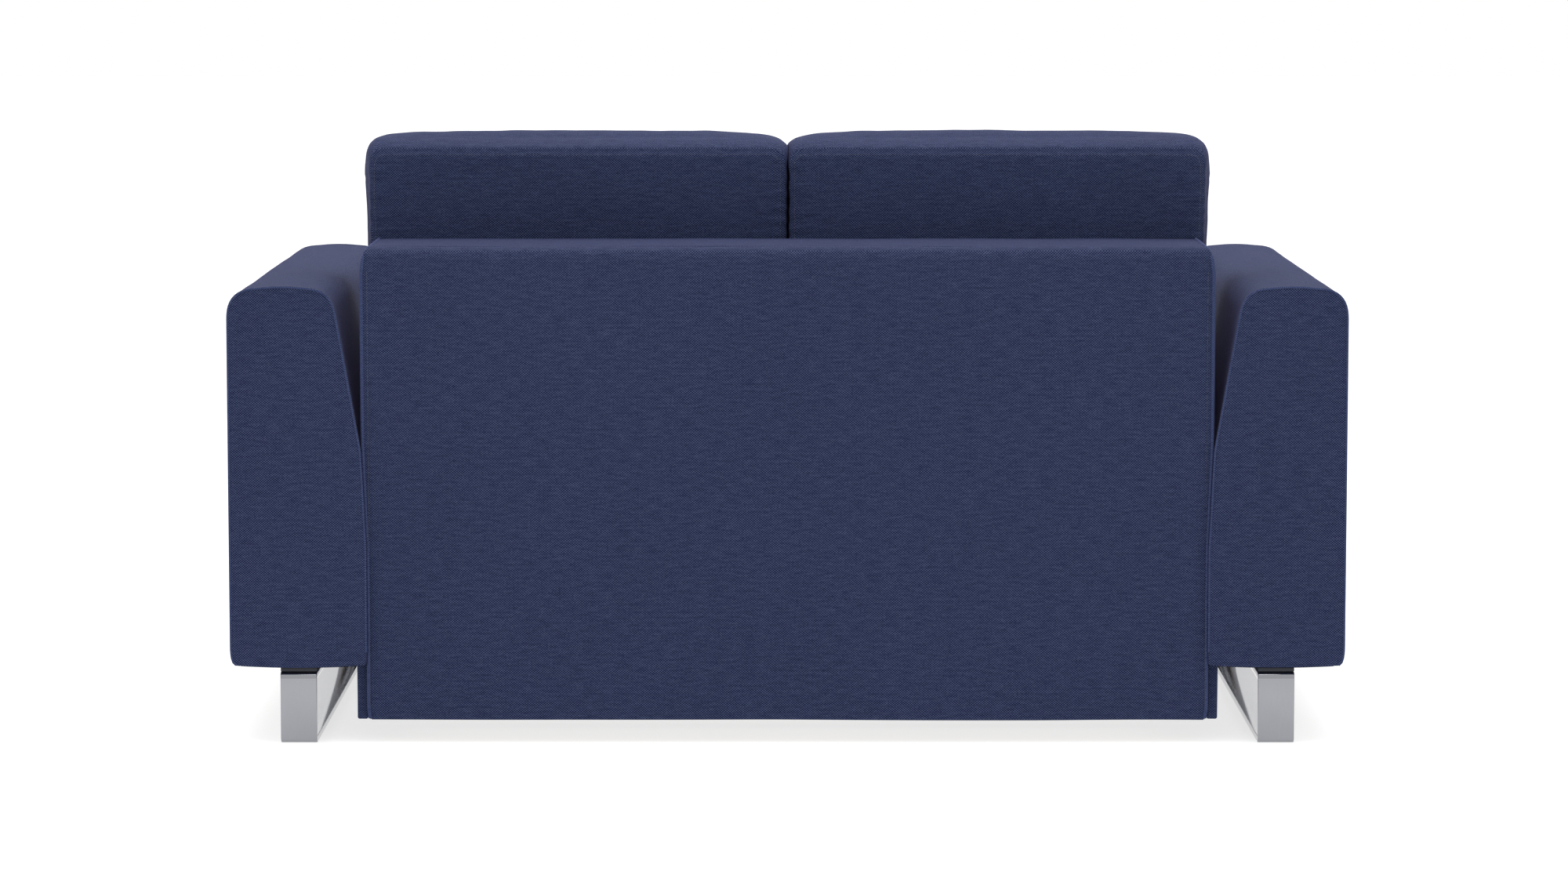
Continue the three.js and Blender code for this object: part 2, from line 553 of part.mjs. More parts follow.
function addBackFrame() {
  const y0 = BACK_Y;
  const y1 = y0 + FRAME_BAR;
  const bottom = BACK_Z + BACK_FRAME_FOOT;
  const inside = RAIL_X - RAIL_WIDTH;
  const joined = [];
  for (const z of [bottom, (bottom + BACK_TOP_Z) / 2, BACK_TOP_Z - RAIL_WIDTH * 0.6]) {
    joined.push(box(-inside - 1, inside + 1, y0, y1, z, z + RAIL_WIDTH * 0.6));
  }
  const cut = [];
  for (const [, sign] of SIDES) {
    joined.push(box(sign * inside, sign * RAIL_X, y0, y1, bottom, BACK_TOP_Z));
    const ear = new THREE.Shape();
    ear.absarc(BACK_Y, BACK_Z, HINGE_NOSE, Math.PI, 1.75 * Math.PI);
    ear.lineTo(y1, BACK_Z + 10);
    ear.lineTo(y1, bottom + 40);
    ear.lineTo(BACK_Y, bottom + 40);
    ear.closePath();
    joined.push(alongX(ear, sign * (RAIL_X + RUNNING), sign * (RAIL_X + HINGE_PLATE)));
    joined.push(box(sign * (RAIL_X - 1), sign * (RAIL_X + 1), y0, y1, bottom, bottom + 40));
    cut.push(rod(sign * RAIL_X, sign * (RAIL_X + 10), BACK_Y, BACK_Z, PIN_RADIUS + RUNNING));
    joined.push(box(sign * (RAIL_X + HINGE_PLATE - 1), sign * (FOOT_TUBE_X - CLEARANCE),
      BACK_Y + 11, y1, BACK_Z + 2, BACK_Z + 2 + FOOT_TUBE_DEPTH));
  }
  addPiece('back_frame', joinAndCut(joined, cut), darkSteel);
  addPiece('back_deck', box(-inside - 8, inside + 8, BACK_DECK_Y, BACK_DECK_Y + DECK,
    BACK_Z + 4, BACK_TOP_Z), deckMesh);
}

// The foot tubes lie beside the seat cushions and stand on the floor when the bed is open.
function addFootTubes() {
  const z0 = BACK_Z + 2;
  const end = BACK_Y - FOOT_REACH;
  for (const [side, sign] of SIDES) {
    const x0 = sign * FOOT_TUBE_X;
    const x1 = sign * (FOOT_TUBE_X + FOOT_TUBE_WIDTH);
    addPiece(`foot_tube_${side}`, box(x0, x1, end + FOOT_GLIDE, BACK_Y + FRAME_BAR, z0,
      z0 + FOOT_TUBE_DEPTH), zincSteel);
    addPiece(`foot_glide_${side}`, box(x0, x1, end + 1, end + FOOT_GLIDE - CLEARANCE, z0,
      z0 + FOOT_TUBE_DEPTH), blackPlastic);
  }
}

function backCushionFace(sign) {
  const inner = CUSHION_GAP / 2;
  const outer = INNER_X + BACK_CUSHION_SPREAD;
  const top = BACK_CUSHION_TOP_Z;
  const r = BACK_CUSHION_ROUND;
  const shape = new THREE.Shape();
  shape.moveTo(sign * inner, BACK_CUSHION_Z);
  shape.lineTo(sign * (INNER_X + BACK_CUSHION_FOOT), BACK_CUSHION_Z);
  shape.lineTo(sign * outer, LEDGE_Z);
  shape.lineTo(sign * outer, top - r);
  shape.quadraticCurveTo(sign * outer, top, sign * (outer - r), top);
  shape.lineTo(sign * (inner + r), top);
  shape.quadraticCurveTo(sign * inner, top, sign * inner, top - r);
  shape.closePath();
  return shape;
}

function addBackSoftPieces() {
  addPiece('mattress_foot', box(-MATTRESS_X, MATTRESS_X, FOOT_MATTRESS_Y,
    FOOT_MATTRESS_Y + MATTRESS, BACK_Z + 4, BACK_TOP_Z), ticking);
  addPiece('back_pad', box(-INNER_X + 5, INNER_X - 5, BACK_Y - CLEARANCE - BACK_PAD,
    BACK_Y - CLEARANCE, BACK_CUSHION_Z, BACK_TOP_Z), navyFabric);
  const capHalf = INNER_X - PANEL_SIDE_GAP + PANEL_SPREAD;
  const slope = 14;
  addPiece('ledge_cap', alongY(outline([
    [-capHalf, CAP_BOTTOM_Z], [capHalf, CAP_BOTTOM_Z], [capHalf - slope, LEDGE_Z],
    [-capHalf + slope, LEDGE_Z],
  ]), BACK_FACE_Y + CLEARANCE, CAP_REAR_Y), navyFabric);
  for (const [side, sign] of SIDES) {
    addPiece(`back_cushion_${side}`, alongY(backCushionFace(sign), BACK_FACE_Y - BACK_CUSHION,
      BACK_FACE_Y - CLEARANCE, 4), navyFabric);
  }
}

// ---------- assembly ----------

for (const [side, sign] of SIDES) {
  addArm(side, sign);
  addLeg(side, sign);
  addSidePlate(side, sign);
}
addRearPanel();
addFrontRail();
addCrossbars();
addLinks('front', LINK_FRONT_Y, FRONT_LINK_X);
addLinks('rear', LINK_FRONT_Y + LINK_SPACING, REAR_LINK_X);
addHeadSection();
addSeatSection();
addBackFrame();
addFootTubes();
addBackSoftPieces();

export default sofaBed;
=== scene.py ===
"""Upholstered two-seat sofa bed on flat-bar sled legs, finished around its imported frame.

Metres, +Z up, the front faces -Y. Each operator makes one group of pieces.
"""

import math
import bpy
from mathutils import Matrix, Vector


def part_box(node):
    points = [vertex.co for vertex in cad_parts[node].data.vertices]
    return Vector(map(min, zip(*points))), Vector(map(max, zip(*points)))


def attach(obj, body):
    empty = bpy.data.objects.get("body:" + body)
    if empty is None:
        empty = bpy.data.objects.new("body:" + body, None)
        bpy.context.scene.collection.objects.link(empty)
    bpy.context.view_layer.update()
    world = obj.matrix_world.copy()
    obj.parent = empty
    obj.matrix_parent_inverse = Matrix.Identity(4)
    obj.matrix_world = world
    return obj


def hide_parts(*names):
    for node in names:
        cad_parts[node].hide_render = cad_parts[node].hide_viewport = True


bl_info = {
    "name": "Sofa Bed Finish",
    "version": (1, 0, 0),
    "blender": (4, 5, 0),
    "location": "View3D > Sidebar > Sofa Bed",
    "description": "Upholstery, legs and mattress of a sofa bed, built around its frame",
    "category": "Add Mesh",
}

import bmesh
import bpy
import numpy as np
from bpy.props import FloatProperty, FloatVectorProperty, IntProperty, PointerProperty
from mathutils import Vector, kdtree, noise
from mathutils.bvhtree import BVHTree

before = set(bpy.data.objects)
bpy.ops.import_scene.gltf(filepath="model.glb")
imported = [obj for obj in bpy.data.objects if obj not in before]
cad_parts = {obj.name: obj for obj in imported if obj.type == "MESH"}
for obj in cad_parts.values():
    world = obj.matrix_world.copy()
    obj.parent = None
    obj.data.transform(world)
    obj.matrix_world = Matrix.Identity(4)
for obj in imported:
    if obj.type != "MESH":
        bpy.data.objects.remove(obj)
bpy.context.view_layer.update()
SIDES = (("left", -1), ("right", 1))
UV_NAME = "weave"
REST = "rest"
TAU = 2 * math.pi
ARM_BOTTOM_POINTS = 19
CORNER_STEPS = 8
LEAST_BEND = 0.0015
PIPING_SUNK = 0.0012
PIPING_INSET = 0.0014

SEAT_NOSE = 0.050
SEAT_CORNER = 0.014
MATTRESS_EDGE = 0.014
MATTRESS_SLACK = 0.0015
MATTRESS_PIPING = 0.0032
MATTRESS_STEP = 0.0085
MATTRESS_LINE = 0.0025

# how the cushions' cloth behaves while it is inflated
CLOTH = {
    "quality": 4,
    "mass": 0.25,
    "tension_stiffness": 9,
    "compression_stiffness": 9,
    "shear_stiffness": 4,
    "bending_stiffness": 0.7,
    "tension_damping": 8,
    "compression_damping": 8,
    "use_pressure": True,
    "vertex_group_mass": "seams",
}

FLOOR_SIZE = 60
FLOOR_GLOW = 0.72
LAMP_POWER = 98
LAMP_SIZE = 4.0
LAMP_HEIGHT = 3.6
CAMERA_PLACE = (0.0049, 7.6169, 1.1664)
CAMERA_TILT = 5.869  # degrees below level
CAMERA_LENS = 116.86
SENSOR_WIDTH = 36

# the finishes by name, once they are made
FINISHES = {}


# ---------- settings ----------


def length(name, default, description):
    return FloatProperty(name=name, default=default, description=description, unit="LENGTH", precision=4)


def colour(name, default, description):
    return FloatVectorProperty(name=name, default=default, description=description, size=3,
                               subtype="COLOR", min=0, max=1)


class SofaUpholstery(bpy.types.PropertyGroup):
    knee_height: length("Knee height", 0.417, "Height above which the arm's inner side leans outward")
    knee_set: length("Knee set", 0.0065, "How far the knee lies outside the arm's lower inner side")
    straight_height: length("Straight height", 0.278, "Height up to which the arm's inner side is upright")
    shoulder_set: length("Shoulder set", 0.0405, "How far the shoulder lies outside the lower inner side")
    shoulder_drop: length("Shoulder drop", 0.039, "Height of the arm's top above its shoulder")
    arm_edge: length("Arm edge", 0.0035, "Rounding between the arm's wrap and its end panels")
    arm_corner: length("Arm corner", 0.006, "Rounding of the arm's lower inner edge")
    arm_belly: length("Arm belly", 0.003, "Sag of the arm's lower edge in its middle")
    # The next two sizes place a near-black sheet under each arm: painted shade for the arm's underside and
    # its reflection in the legs.
    painted_shade_sheet: length("Dust cover", 0.0018, "Thickness of the black cloth tacked under the arm")
    painted_shade_margin: length("Dust margin", 0.014, "From the arm's lower edges to the dust cover")
    panel_dome: length("Panel dome", 0.0035, "Swell of an arm's end panel")
    welt_radius: length("Welt radius", 0.0016, "Flat welt round the arm's end panels")
    side_cover: length("Side cover", 0.0065, "Covered board at each end of the ledge")
    piping_radius: length("Piping radius", 0.0027, "Piping along the rear panel's sides")
    board_edge: length("Board edge", 0.003, "Rounding of covered boards")
    panel_round: length("Panel rounding", 0.022, "Rounding of the rear panel's top edge")
    panel_spread: length("Panel spread", 0.006, "Extra half width of the rear panel above the knee")
    corner_drop: length("Corner drop", 0.042, "Height of the rear panel's rounded upper corners")
    corner_set: length("Corner set", 0.0135, "Width of the rear panel's rounded upper corners")
    stitch_pitch: length("Stitch pitch", 0.0052, "Distance between two stitches")
    stitch_gauge: length("Stitch gauge", 0.00045, "Radius of the sewing thread")


class SofaCushions(bpy.types.PropertyGroup):
    voxel: length("Voxel", 0.006, "Grain of the cloth that is inflated")
    pressure: FloatProperty(name="Pressure", default=4.0, description="Pressure inside a cushion")
    frames: IntProperty(name="Frames", default=20, description="Frames of inflation")
    back_crown: length("Back crown", 0.026, "Rise of a back cushion's upper border above its seam")
    back_face: length("Back face swell", 0.024, "Swell of a back cushion's front face")
    back_side: length("Back side swell", 0.012, "Swell of a back cushion's borders")
    back_corner: length("Back corner", 0.027, "Height of a back cushion's rounded upper corners")
    meeting: length("Meeting", 0.0015, "How far the face where two cushions press together waves")
    seat_crown: length("Seat crown", 0.012, "Rise of a seat cushion's top above its seams")
    seat_side: length("Seat side swell", 0.005, "Swell of a seat cushion's borders")
    seam_depth: length("Seam depth", 0.0022, "How deep a seam is drawn in")
    seam_width: length("Seam width", 0.0040, "How wide a seam's furrow is")
    pucker: length("Pucker", 0.0009, "Height of the ripples along a seam")
    quilt_pitch: length("Quilt pitch", 0.100, "Distance between two quilting lines")
    quilt_depth: length("Quilt depth", 0.005, "Depth of the quilting")


class SofaHardware(bpy.types.PropertyGroup):
    leg_edge: length("Leg edge", 0.0009, "Broken edge of the legs' flat bar")
    leg_bar: length("Leg bar", 0.009, "Thickness of the legs' flat bar")
    leg_bend: length("Leg bend", 0.009, "Outer radius of the bar's bends")
    steel_edge: length("Steel edge", 0.0007, "Broken edge of welded steel")
    spacer_edge: length("Spacer edge", 0.0012, "Rounded edge of the legs' spacers")
    tube_edge: length("Tube edge", 0.0015, "Rounded edge of the foot tubes")
    glide_edge: length("Glide edge", 0.0020, "Rounded edge of the foot glides")
    wire_pitch: length("Wire pitch", 0.055, "Distance between two wires of a deck")
    wire_radius: length("Wire radius", 0.00125, "Radius of a deck's wires")
    wire_inset: length("Wire inset", 0.004, "From a deck's border to its first wire")
    screw_radius: length("Screw radius", 0.0065, "Radius of a screw's head")
    screw_height: length("Screw height", 0.0028, "Height of a screw's domed head")


class SofaColours(bpy.types.PropertyGroup):
    cloth_dark: colour("Cloth shade", (0.0032, 0.0067, 0.0300), "Deep threads of the upholstery cloth")
    cloth: colour("Cloth", (0.0146, 0.0214, 0.0600), "Body colour of the upholstery cloth")
    cloth_light: colour("Cloth fleck", (0.060, 0.077, 0.147), "Raised threads of the upholstery cloth")
    thread: colour("Thread", (0.015, 0.021, 0.050), "Sewing thread")
    ticking: colour("Ticking", (0.66, 0.645, 0.60), "Mattress cloth")
    stripe: colour("Ticking stripe", (0.23, 0.28, 0.38), "Stripe of the mattress border")
    satin: colour("Satin steel", (0.300, 0.304, 0.326), "Steel of the sled legs")
    zinc: colour("Zinc", (0.47, 0.49, 0.51), "Zinc plating")
    coat: colour("Powder coat", (0.020, 0.021, 0.024), "Coated steel")
    plastic: colour("Plastic", (0.010, 0.012, 0.018), "Spacers and glides")
    # Near-black colour of the sheets under the arms, which is painted shade.
    painted_shade_black: colour("Lining", (0.0012, 0.0012, 0.0015), "Dust covers under the arms")
    wood: colour("Plywood", (0.52, 0.35, 0.19), "Boards under the cloth")
    floor: colour("Floor", (0.42, 0.42, 0.42), "Studio floor")


# ---------- meshes ----------


def new_object(name, vertices, faces):
    """A closed mesh with merged vertices and its faces outward."""
    mesh = bpy.data.meshes.new(name)
    mesh.from_pydata([tuple(v) for v in vertices], [], faces)
    work = bmesh.new()
    work.from_mesh(mesh)
    bmesh.ops.remove_doubles(work, verts=work.verts, dist=1e-6)
    bmesh.ops.dissolve_degenerate(work, dist=1e-7, edges=work.edges)
    bmesh.ops.recalc_face_normals(work, faces=work.faces)
    work.to_mesh(mesh)
    work.free()
    obj = bpy.data.objects.new(name, mesh)
    bpy.context.collection.objects.link(obj)
    shade_smooth(obj)
    return obj


def shade_smooth(obj):
    obj.data.polygons.foreach_set("use_smooth", [True] * len(obj.data.polygons))


def read_vectors(source, field, count):
    values = np.empty(count * 3, np.float32)
    source.foreach_get(field, values)
    return values.reshape(-1, 3)


def points_of(mesh):
    return read_vectors(mesh.vertices, "co", len(mesh.vertices)).astype(float)


def normals_of(mesh):
    return read_vectors(mesh.vertices, "normal", len(mesh.vertices))


def set_points(mesh, co):
    mesh.vertices.foreach_set("co", np.asarray(co, np.float32).ravel())
    mesh.update()


def keep_rest(mesh, co):
    """Stores where each vertex was before the cloth swelled."""
    layer = mesh.attributes.get(REST) or mesh.attributes.new(REST, "FLOAT_VECTOR", "POINT")
    layer.data.foreach_set("vector", np.asarray(co, np.float32).ravel())


def rest_points(mesh):
    layer = mesh.attributes.get(REST)
    if layer is None:
        return points_of(mesh)
    return read_vectors(layer.data, "vector", len(mesh.vertices)).astype(float)


def lay_weave(obj):
    """The cloth's UV map in metres, laid on each face from the side that it faces most."""
    mesh = obj.data
    co = rest_points(mesh)
    layer = mesh.uv_layers.get(UV_NAME) or mesh.uv_layers.new(name=UV_NAME)
    corner_vertex = np.empty(len(mesh.loops), np.int32)
    mesh.loops.foreach_get("vertex_index", corner_vertex)
    totals = np.empty(len(mesh.polygons), np.int32)
    mesh.polygons.foreach_get("loop_total", totals)
    normals = read_vectors(mesh.polygons, "normal", len(mesh.polygons))
    axis = np.repeat(np.abs(normals).argmax(1), totals)
    at = co[corner_vertex]
    u = np.where(axis == 0, at[:, 1], at[:, 0])
    v = np.where(axis == 2, at[:, 1], at[:, 2])
    layer.data.foreach_set("uv", np.stack([u, v], 1).astype(np.float32).ravel())


def lay_weave_round(obj, along, across):
    """The cloth's UV map on a wrapped surface: two values that each vertex has, in metres."""
    mesh = obj.data
    layer = mesh.uv_layers[UV_NAME]
    for face in mesh.polygons:
        values = [(along[v], across[v]) for v in face.vertices]
        if any(value[0] is None for value in values):
            continue
        us = [value[0] for value in values]
        if max(us) - min(us) > 0.1:
            continue
        for corner, value in zip(face.loop_indices, values):
            layer.data[corner].uv = value


def edge_steps(low, high, edge, step, rounds=4):
    """Places from low to high, close together in the rounded edges and step apart between them."""
    angles = [math.pi / 4 * i / rounds for i in range(rounds, 0, -1)]
    near = [edge * (1 - math.tan(angle)) for angle in angles]
    count = max(1, round((high - low - 2 * edge) / step))
    middle = np.linspace(low + edge, high - edge, count + 1)
    return [low + n for n in near] + list(middle) + [high - n for n in reversed(near)]


def box_surface(xs, ys, zs):
    vertices = []
    faces = []

    def side(point, first, second):
        base = len(vertices)
        vertices.extend(point(a, b) for a in first for b in second)
        n = len(second)
        for i in range(len(first) - 1):
            row = base + i * n
            faces.extend((row + j, row + n + j, row + n + j + 1, row + j + 1) for j in range(n - 1))

    for x in (xs[0], xs[-1]):
        side(lambda a, b, x=x: (x, a, b), ys, zs)
    for y in (ys[0], ys[-1]):
        side(lambda a, b, y=y: (a, y, b), xs, zs)
    for z in (zs[0], zs[-1]):
        side(lambda a, b, z=z: (a, b, z), xs, ys)
    return np.array(vertices), faces


def rounded(co, low, high, edge):
    """The points of a box's surface, moved onto the same box with rounded edges."""
    core = np.clip(co, np.array(low) + edge, np.array(high) - edge)
    away = co - core
    return core + away / np.maximum(np.linalg.norm(away, axis=1, keepdims=True), 1e-9) * edge


def crowned(co, low, high, crown):
    """Swells each side of a box outward in its middle, crown being one height for each axis."""
    middle = (np.array(low) + np.array(high)) / 2
    half = (np.array(high) - np.array(low)) / 2
    at = np.clip((co - middle) / half, -1, 1)
    fall = (1 - at ** 4)
    swollen = co.copy()
    for axis, height in enumerate(crown):
        others = [a for a in range(3) if a != axis]
        facing = np.abs(at[:, axis]) ** 8
        swollen[:, axis] += np.sign(at[:, axis]) * facing * height * fall[:, others].prod(axis=1)
    return swollen


def soft_box(name, low, high, edge, step=0.02, crown=(0, 0, 0)):
    places = [edge_steps(low[a], high[a], edge, step) for a in range(3)]
    co, faces = box_surface(*places)
    co = crowned(rounded(co, low, high, edge), low, high, crown)
    return new_object(name, co, faces)


def loft(name, rings):
    """A closed skin over rings of points, whose first and last rings end in one point each."""
    rings = np.array(rings)
    count, around, _ = rings.shape
    faces = []
    for i in range(count - 1):
        for j in range(around):
            k = (j + 1) % around
            faces.append((i * around + j, (i + 1) * around + j, (i + 1) * around + k, i * around + k))
    return new_object(name, rings.reshape(-1, 3), faces)


def cap_rings(ring, shares=(1.0, 0.86, 0.72, 0.58, 0.45, 0.33, 0.22, 0.13, 0.06, 0.02)):
    """Rings from the middle of an end panel out to its edge."""
    centre = ring.mean(axis=0)
    return [ring + (centre - ring) * share for share in shares]


def dome_panel(obj, axis, level, outline, rise, rim=0.03):
    """Swells the flat end panel at level into a soft dome of height rise."""
    mesh = obj.data
    co = points_of(mesh)
    flat = np.nonzero(np.abs(co[:, axis] - level) < 1e-5)[0]
    plane = np.delete(co[flat], axis, axis=1)
    border = np.array(densified(outline, 0.004))
    apart = np.linalg.norm(plane[:, None, :] - border[None, :, :], axis=2).min(axis=1)
    middle = (border.max(axis=0) + border.min(axis=0)) / 2
    half = (border.max(axis=0) - border.min(axis=0)) / 2
    fall = np.clip(1 - ((plane - middle) / half) ** 2, 0, 1).prod(axis=1)
    co[flat, axis] += rise * fall * (1 - np.exp(-(apart / rim) ** 2))
    set_points(mesh, co)


def line(start, end, count):
    return [np.array(start) + (np.array(end) - np.array(start)) * i / count for i in range(count)]


def bow(start, control, end, count):
    """A curve from start to end that leans towards its control point."""
    start, control, end = (np.array(p, float) for p in (start, control, end))
    steps = [i / count for i in range(count)]
    return [(1 - t) ** 2 * start + 2 * t * (1 - t) * control + t ** 2 * end for t in steps]


def inset_loop(points, distance):
    """A closed outline moved inward by distance, square to its edges also at corners."""
    edges = np.roll(points, -1, axis=0) - points
    edges /= np.maximum(np.linalg.norm(edges, axis=1, keepdims=True), 1e-9)
    square = np.stack([-edges[:, 1], edges[:, 0]], 1)
    before = np.roll(square, 1, axis=0)
    normal = square + before
    normal /= np.maximum(np.linalg.norm(normal, axis=1, keepdims=True), 1e-9)
    stretch = 1 / np.maximum((normal * square).sum(axis=1, keepdims=True), 0.5)
    x, y = points[:, 0], points[:, 1]
    area = (x * np.roll(y, -1) - y * np.roll(x, -1)).sum()
    return points + normal * stretch * distance * math.copysign(1, area)


def unevenness(co, height, size, seed):
    """Slow, small waves that hand-laid upholstery has."""
    shift = Vector((seed * 3.7, seed * 1.3, seed * 2.1))
    return np.array([noise.noise(Vector(p) / size + shift) for p in co]) * height


def loosen(obj, height, size, seed):
    """Lays a slow unevenness over the whole piece."""
    mesh = obj.data
    co = points_of(mesh)
    set_points(mesh, co + normals_of(mesh) * unevenness(co, height, size, seed)[:, None])


def subdivide_once(obj):
    modifier = obj.modifiers.new("finish", "SUBSURF")
    modifier.levels = modifier.render_levels = 1
    modifier.use_limit_surface = False
    bake_modifiers(obj)


def bake_modifiers(obj):
    graph = bpy.context.evaluated_depsgraph_get()
    mesh = bpy.data.meshes.new_from_object(obj.evaluated_get(graph))
    old = obj.data
    obj.modifiers.clear()
    obj.data = mesh
    bpy.data.meshes.remove(old)


def paint(obj, finish):
    obj.data.materials.clear()
    obj.data.materials.append(FINISHES[finish])


def finish_piece(obj, body, finish, replaces=()):
    """Paints the piece, seats it on its body and hides the frame's pieces that it stands for."""
    paint(obj, finish)
    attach(obj, body)
    if replaces:
        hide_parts(*replaces)


# ---------- geometry nodes ----------


def tree_with_inputs(name, sizes):
    tree = bpy.data.node_groups.new(name, "GeometryNodeTree")
    tree.interface.new_socket("Geometry", in_out="INPUT", socket_type="NodeSocketGeometry")
    for label, default in sizes.items():
        socket = tree.interface.new_socket(label, in_out="INPUT", socket_type="NodeSocketFloat")
        socket.default_value = default
    tree.interface.new_socket("Material", in_out="INPUT", socket_type="NodeSocketMaterial")
    tree.interface.new_socket("Geometry", in_out="OUTPUT", socket_type="NodeSocketGeometry")
    return tree, tree.nodes.new("NodeGroupInput"), tree.nodes.new("NodeGroupOutput")


def feed(tree, node, inputs):
    """Links a node's inputs, or sets them where the value is plain."""
    for name, value in inputs.items():
        socket = node.inputs[name]
        if isinstance(value, bpy.types.NodeSocket):
            tree.links.new(value, socket)
        else:
            socket.default_value = value


def add_node(tree, kind, inputs=None, **settings):
    node = tree.nodes.new(kind)
    for name, value in settings.items():
        setattr(node, name, value)
    feed(tree, node, inputs or {})
    return node


def number(tree, operation, first, second=0.5, third=None):
    inputs = {0: first, 1: second}
    if third is not None:
        inputs[2] = third
    return add_node(tree, "ShaderNodeMath", inputs, operation=operation).outputs[0]


def close_tree(tree, geometry, given, output):
    realized = add_node(tree, "GeometryNodeRealizeInstances", {"Geometry": geometry})
    smooth = add_node(tree, "GeometryNodeSetShadeSmooth", {"Geometry": realized.outputs[0]})
    painted = add_node(tree, "GeometryNodeSetMaterial", {
        "Geometry": smooth.outputs[0], "Material": given.outputs["Material"]})
    tree.links.new(painted.outputs[0], output.inputs["Geometry"])
    return tree


def piping_tree():
    """A round cord along each line of the mesh."""
    tree, given, output = tree_with_inputs("Piping", {"Radius": 0.002, "Step": 0.006})
    path = add_node(tree, "GeometryNodeMeshToCurve", {"Mesh": given.outputs["Geometry"]})
    even = add_node(tree, "GeometryNodeResampleCurve", {
        "Curve": path.outputs[0], "Length": given.outputs["Step"]}, mode="LENGTH")
    section = add_node(tree, "GeometryNodeCurvePrimitiveCircle", {
        "Resolution": 10, "Radius": given.outputs["Radius"]})
    cord = add_node(tree, "GeometryNodeCurveToMesh", {
        "Curve": even.outputs[0], "Profile Curve": section.outputs["Curve"], "Fill Caps": True})
    return close_tree(tree, cord.outputs[0], given, output)


def stitch_tree():
    """A row of thread stitches along each line of the mesh."""
    tree, given, output = tree_with_inputs("Stitches", {"Pitch": 0.005, "Gauge": 0.0004, "Share": 0.36})
    path = add_node(tree, "GeometryNodeMeshToCurve", {"Mesh": given.outputs["Geometry"]})
    even = add_node(tree, "GeometryNodeResampleCurve", {
        "Curve": path.outputs[0], "Length": given.outputs["Pitch"]}, mode="LENGTH")
    tangent = add_node(tree, "GeometryNodeInputTangent")
    turn = add_node(tree, "FunctionNodeAlignRotationToVector", {"Vector": tangent.outputs[0]}, axis="X")
    size = add_node(tree, "ShaderNodeCombineXYZ", {
        "X": number(tree, "MULTIPLY", given.outputs["Pitch"], given.outputs["Share"]),
        "Y": given.outputs["Gauge"], "Z": given.outputs["Gauge"]})
    thread = add_node(tree, "GeometryNodeMeshUVSphere", {"Segments": 6, "Rings": 4, "Radius": 1.0})
    rows = add_node(tree, "GeometryNodeInstanceOnPoints", {
        "Points": even.outputs[0], "Instance": thread.outputs["Mesh"],
        "Rotation": turn.outputs[0], "Scale": size.outputs[0]})
    return close_tree(tree, rows.outputs[0], given, output)


def deck_tree():
    """Welded wires in two directions over a rectangle of the given width and depth, in the XY plane."""
    tree, given, output = tree_with_inputs("Welded wires", {
        "Width": 1.0, "Depth": 1.0, "Pitch": 0.05, "Radius": 0.001})
    parts = []
    for run, spread, turn, lift in (("Width", "Depth", (0, math.pi / 2, 0), 1.0),
                                    ("Depth", "Width", (math.pi / 2, 0, 0), -1.0)):
        gaps = number(tree, "ROUND", number(tree, "DIVIDE", given.outputs[spread], given.outputs["Pitch"]))
        level = number(tree, "MULTIPLY", given.outputs["Radius"], lift * 0.92)
        across = "Y" if spread == "Depth" else "X"
        start, end = (
            add_node(tree, "ShaderNodeCombineXYZ", {
                across: number(tree, "MULTIPLY", given.outputs[spread], half), "Z": level})
            for half in (-0.5, 0.5))
        row = add_node(tree, "GeometryNodeMeshLine", {
            "Count": number(tree, "ADD", gaps, 1.0), "Start Location": start.outputs[0],
            "Offset": end.outputs[0]}, mode="END_POINTS", count_mode="TOTAL")
        wire = add_node(tree, "GeometryNodeMeshCylinder", {
            "Vertices": 8, "Radius": given.outputs["Radius"], "Depth": given.outputs[run]})
        turned = add_node(tree, "GeometryNodeTransform", {
            "Geometry": wire.outputs["Mesh"], "Rotation": turn})
        placed = add_node(tree, "GeometryNodeInstanceOnPoints", {
            "Points": row.outputs[0], "Instance": turned.outputs[0]})
        parts.append(placed.outputs[0])
    joined = add_node(tree, "GeometryNodeJoinGeometry")
    for part in parts:
        tree.links.new(part, joined.inputs[0])
    return close_tree(tree, joined.outputs[0], given, output)


def screw_tree():
    """A domed screw head on each point, its axis along the point's normal."""
    tree, given, output = tree_with_inputs("Screws", {"Radius": 0.006, "Height": 0.003})
    head = add_node(tree, "GeometryNodeMeshUVSphere", {"Segments": 20, "Rings": 10, "Radius": 1.0})
    size = add_node(tree, "ShaderNodeCombineXYZ", {
        "X": given.outputs["Radius"], "Y": given.outputs["Radius"], "Z": given.outputs["Height"]})
    normal = add_node(tree, "GeometryNodeInputNamedAttribute", {"Name": "facing"},
                      data_type="FLOAT_VECTOR")
    turn = add_node(tree, "FunctionNodeAlignRotationToVector", {"Vector": normal.outputs[0]}, axis="Z")
    placed = add_node(tree, "GeometryNodeInstanceOnPoints", {
        "Points": given.outputs["Geometry"], "Instance": head.outputs["Mesh"],
        "Rotation": turn.outputs[0], "Scale": size.outputs[0]})
    return close_tree(tree, placed.outputs[0], given, output)


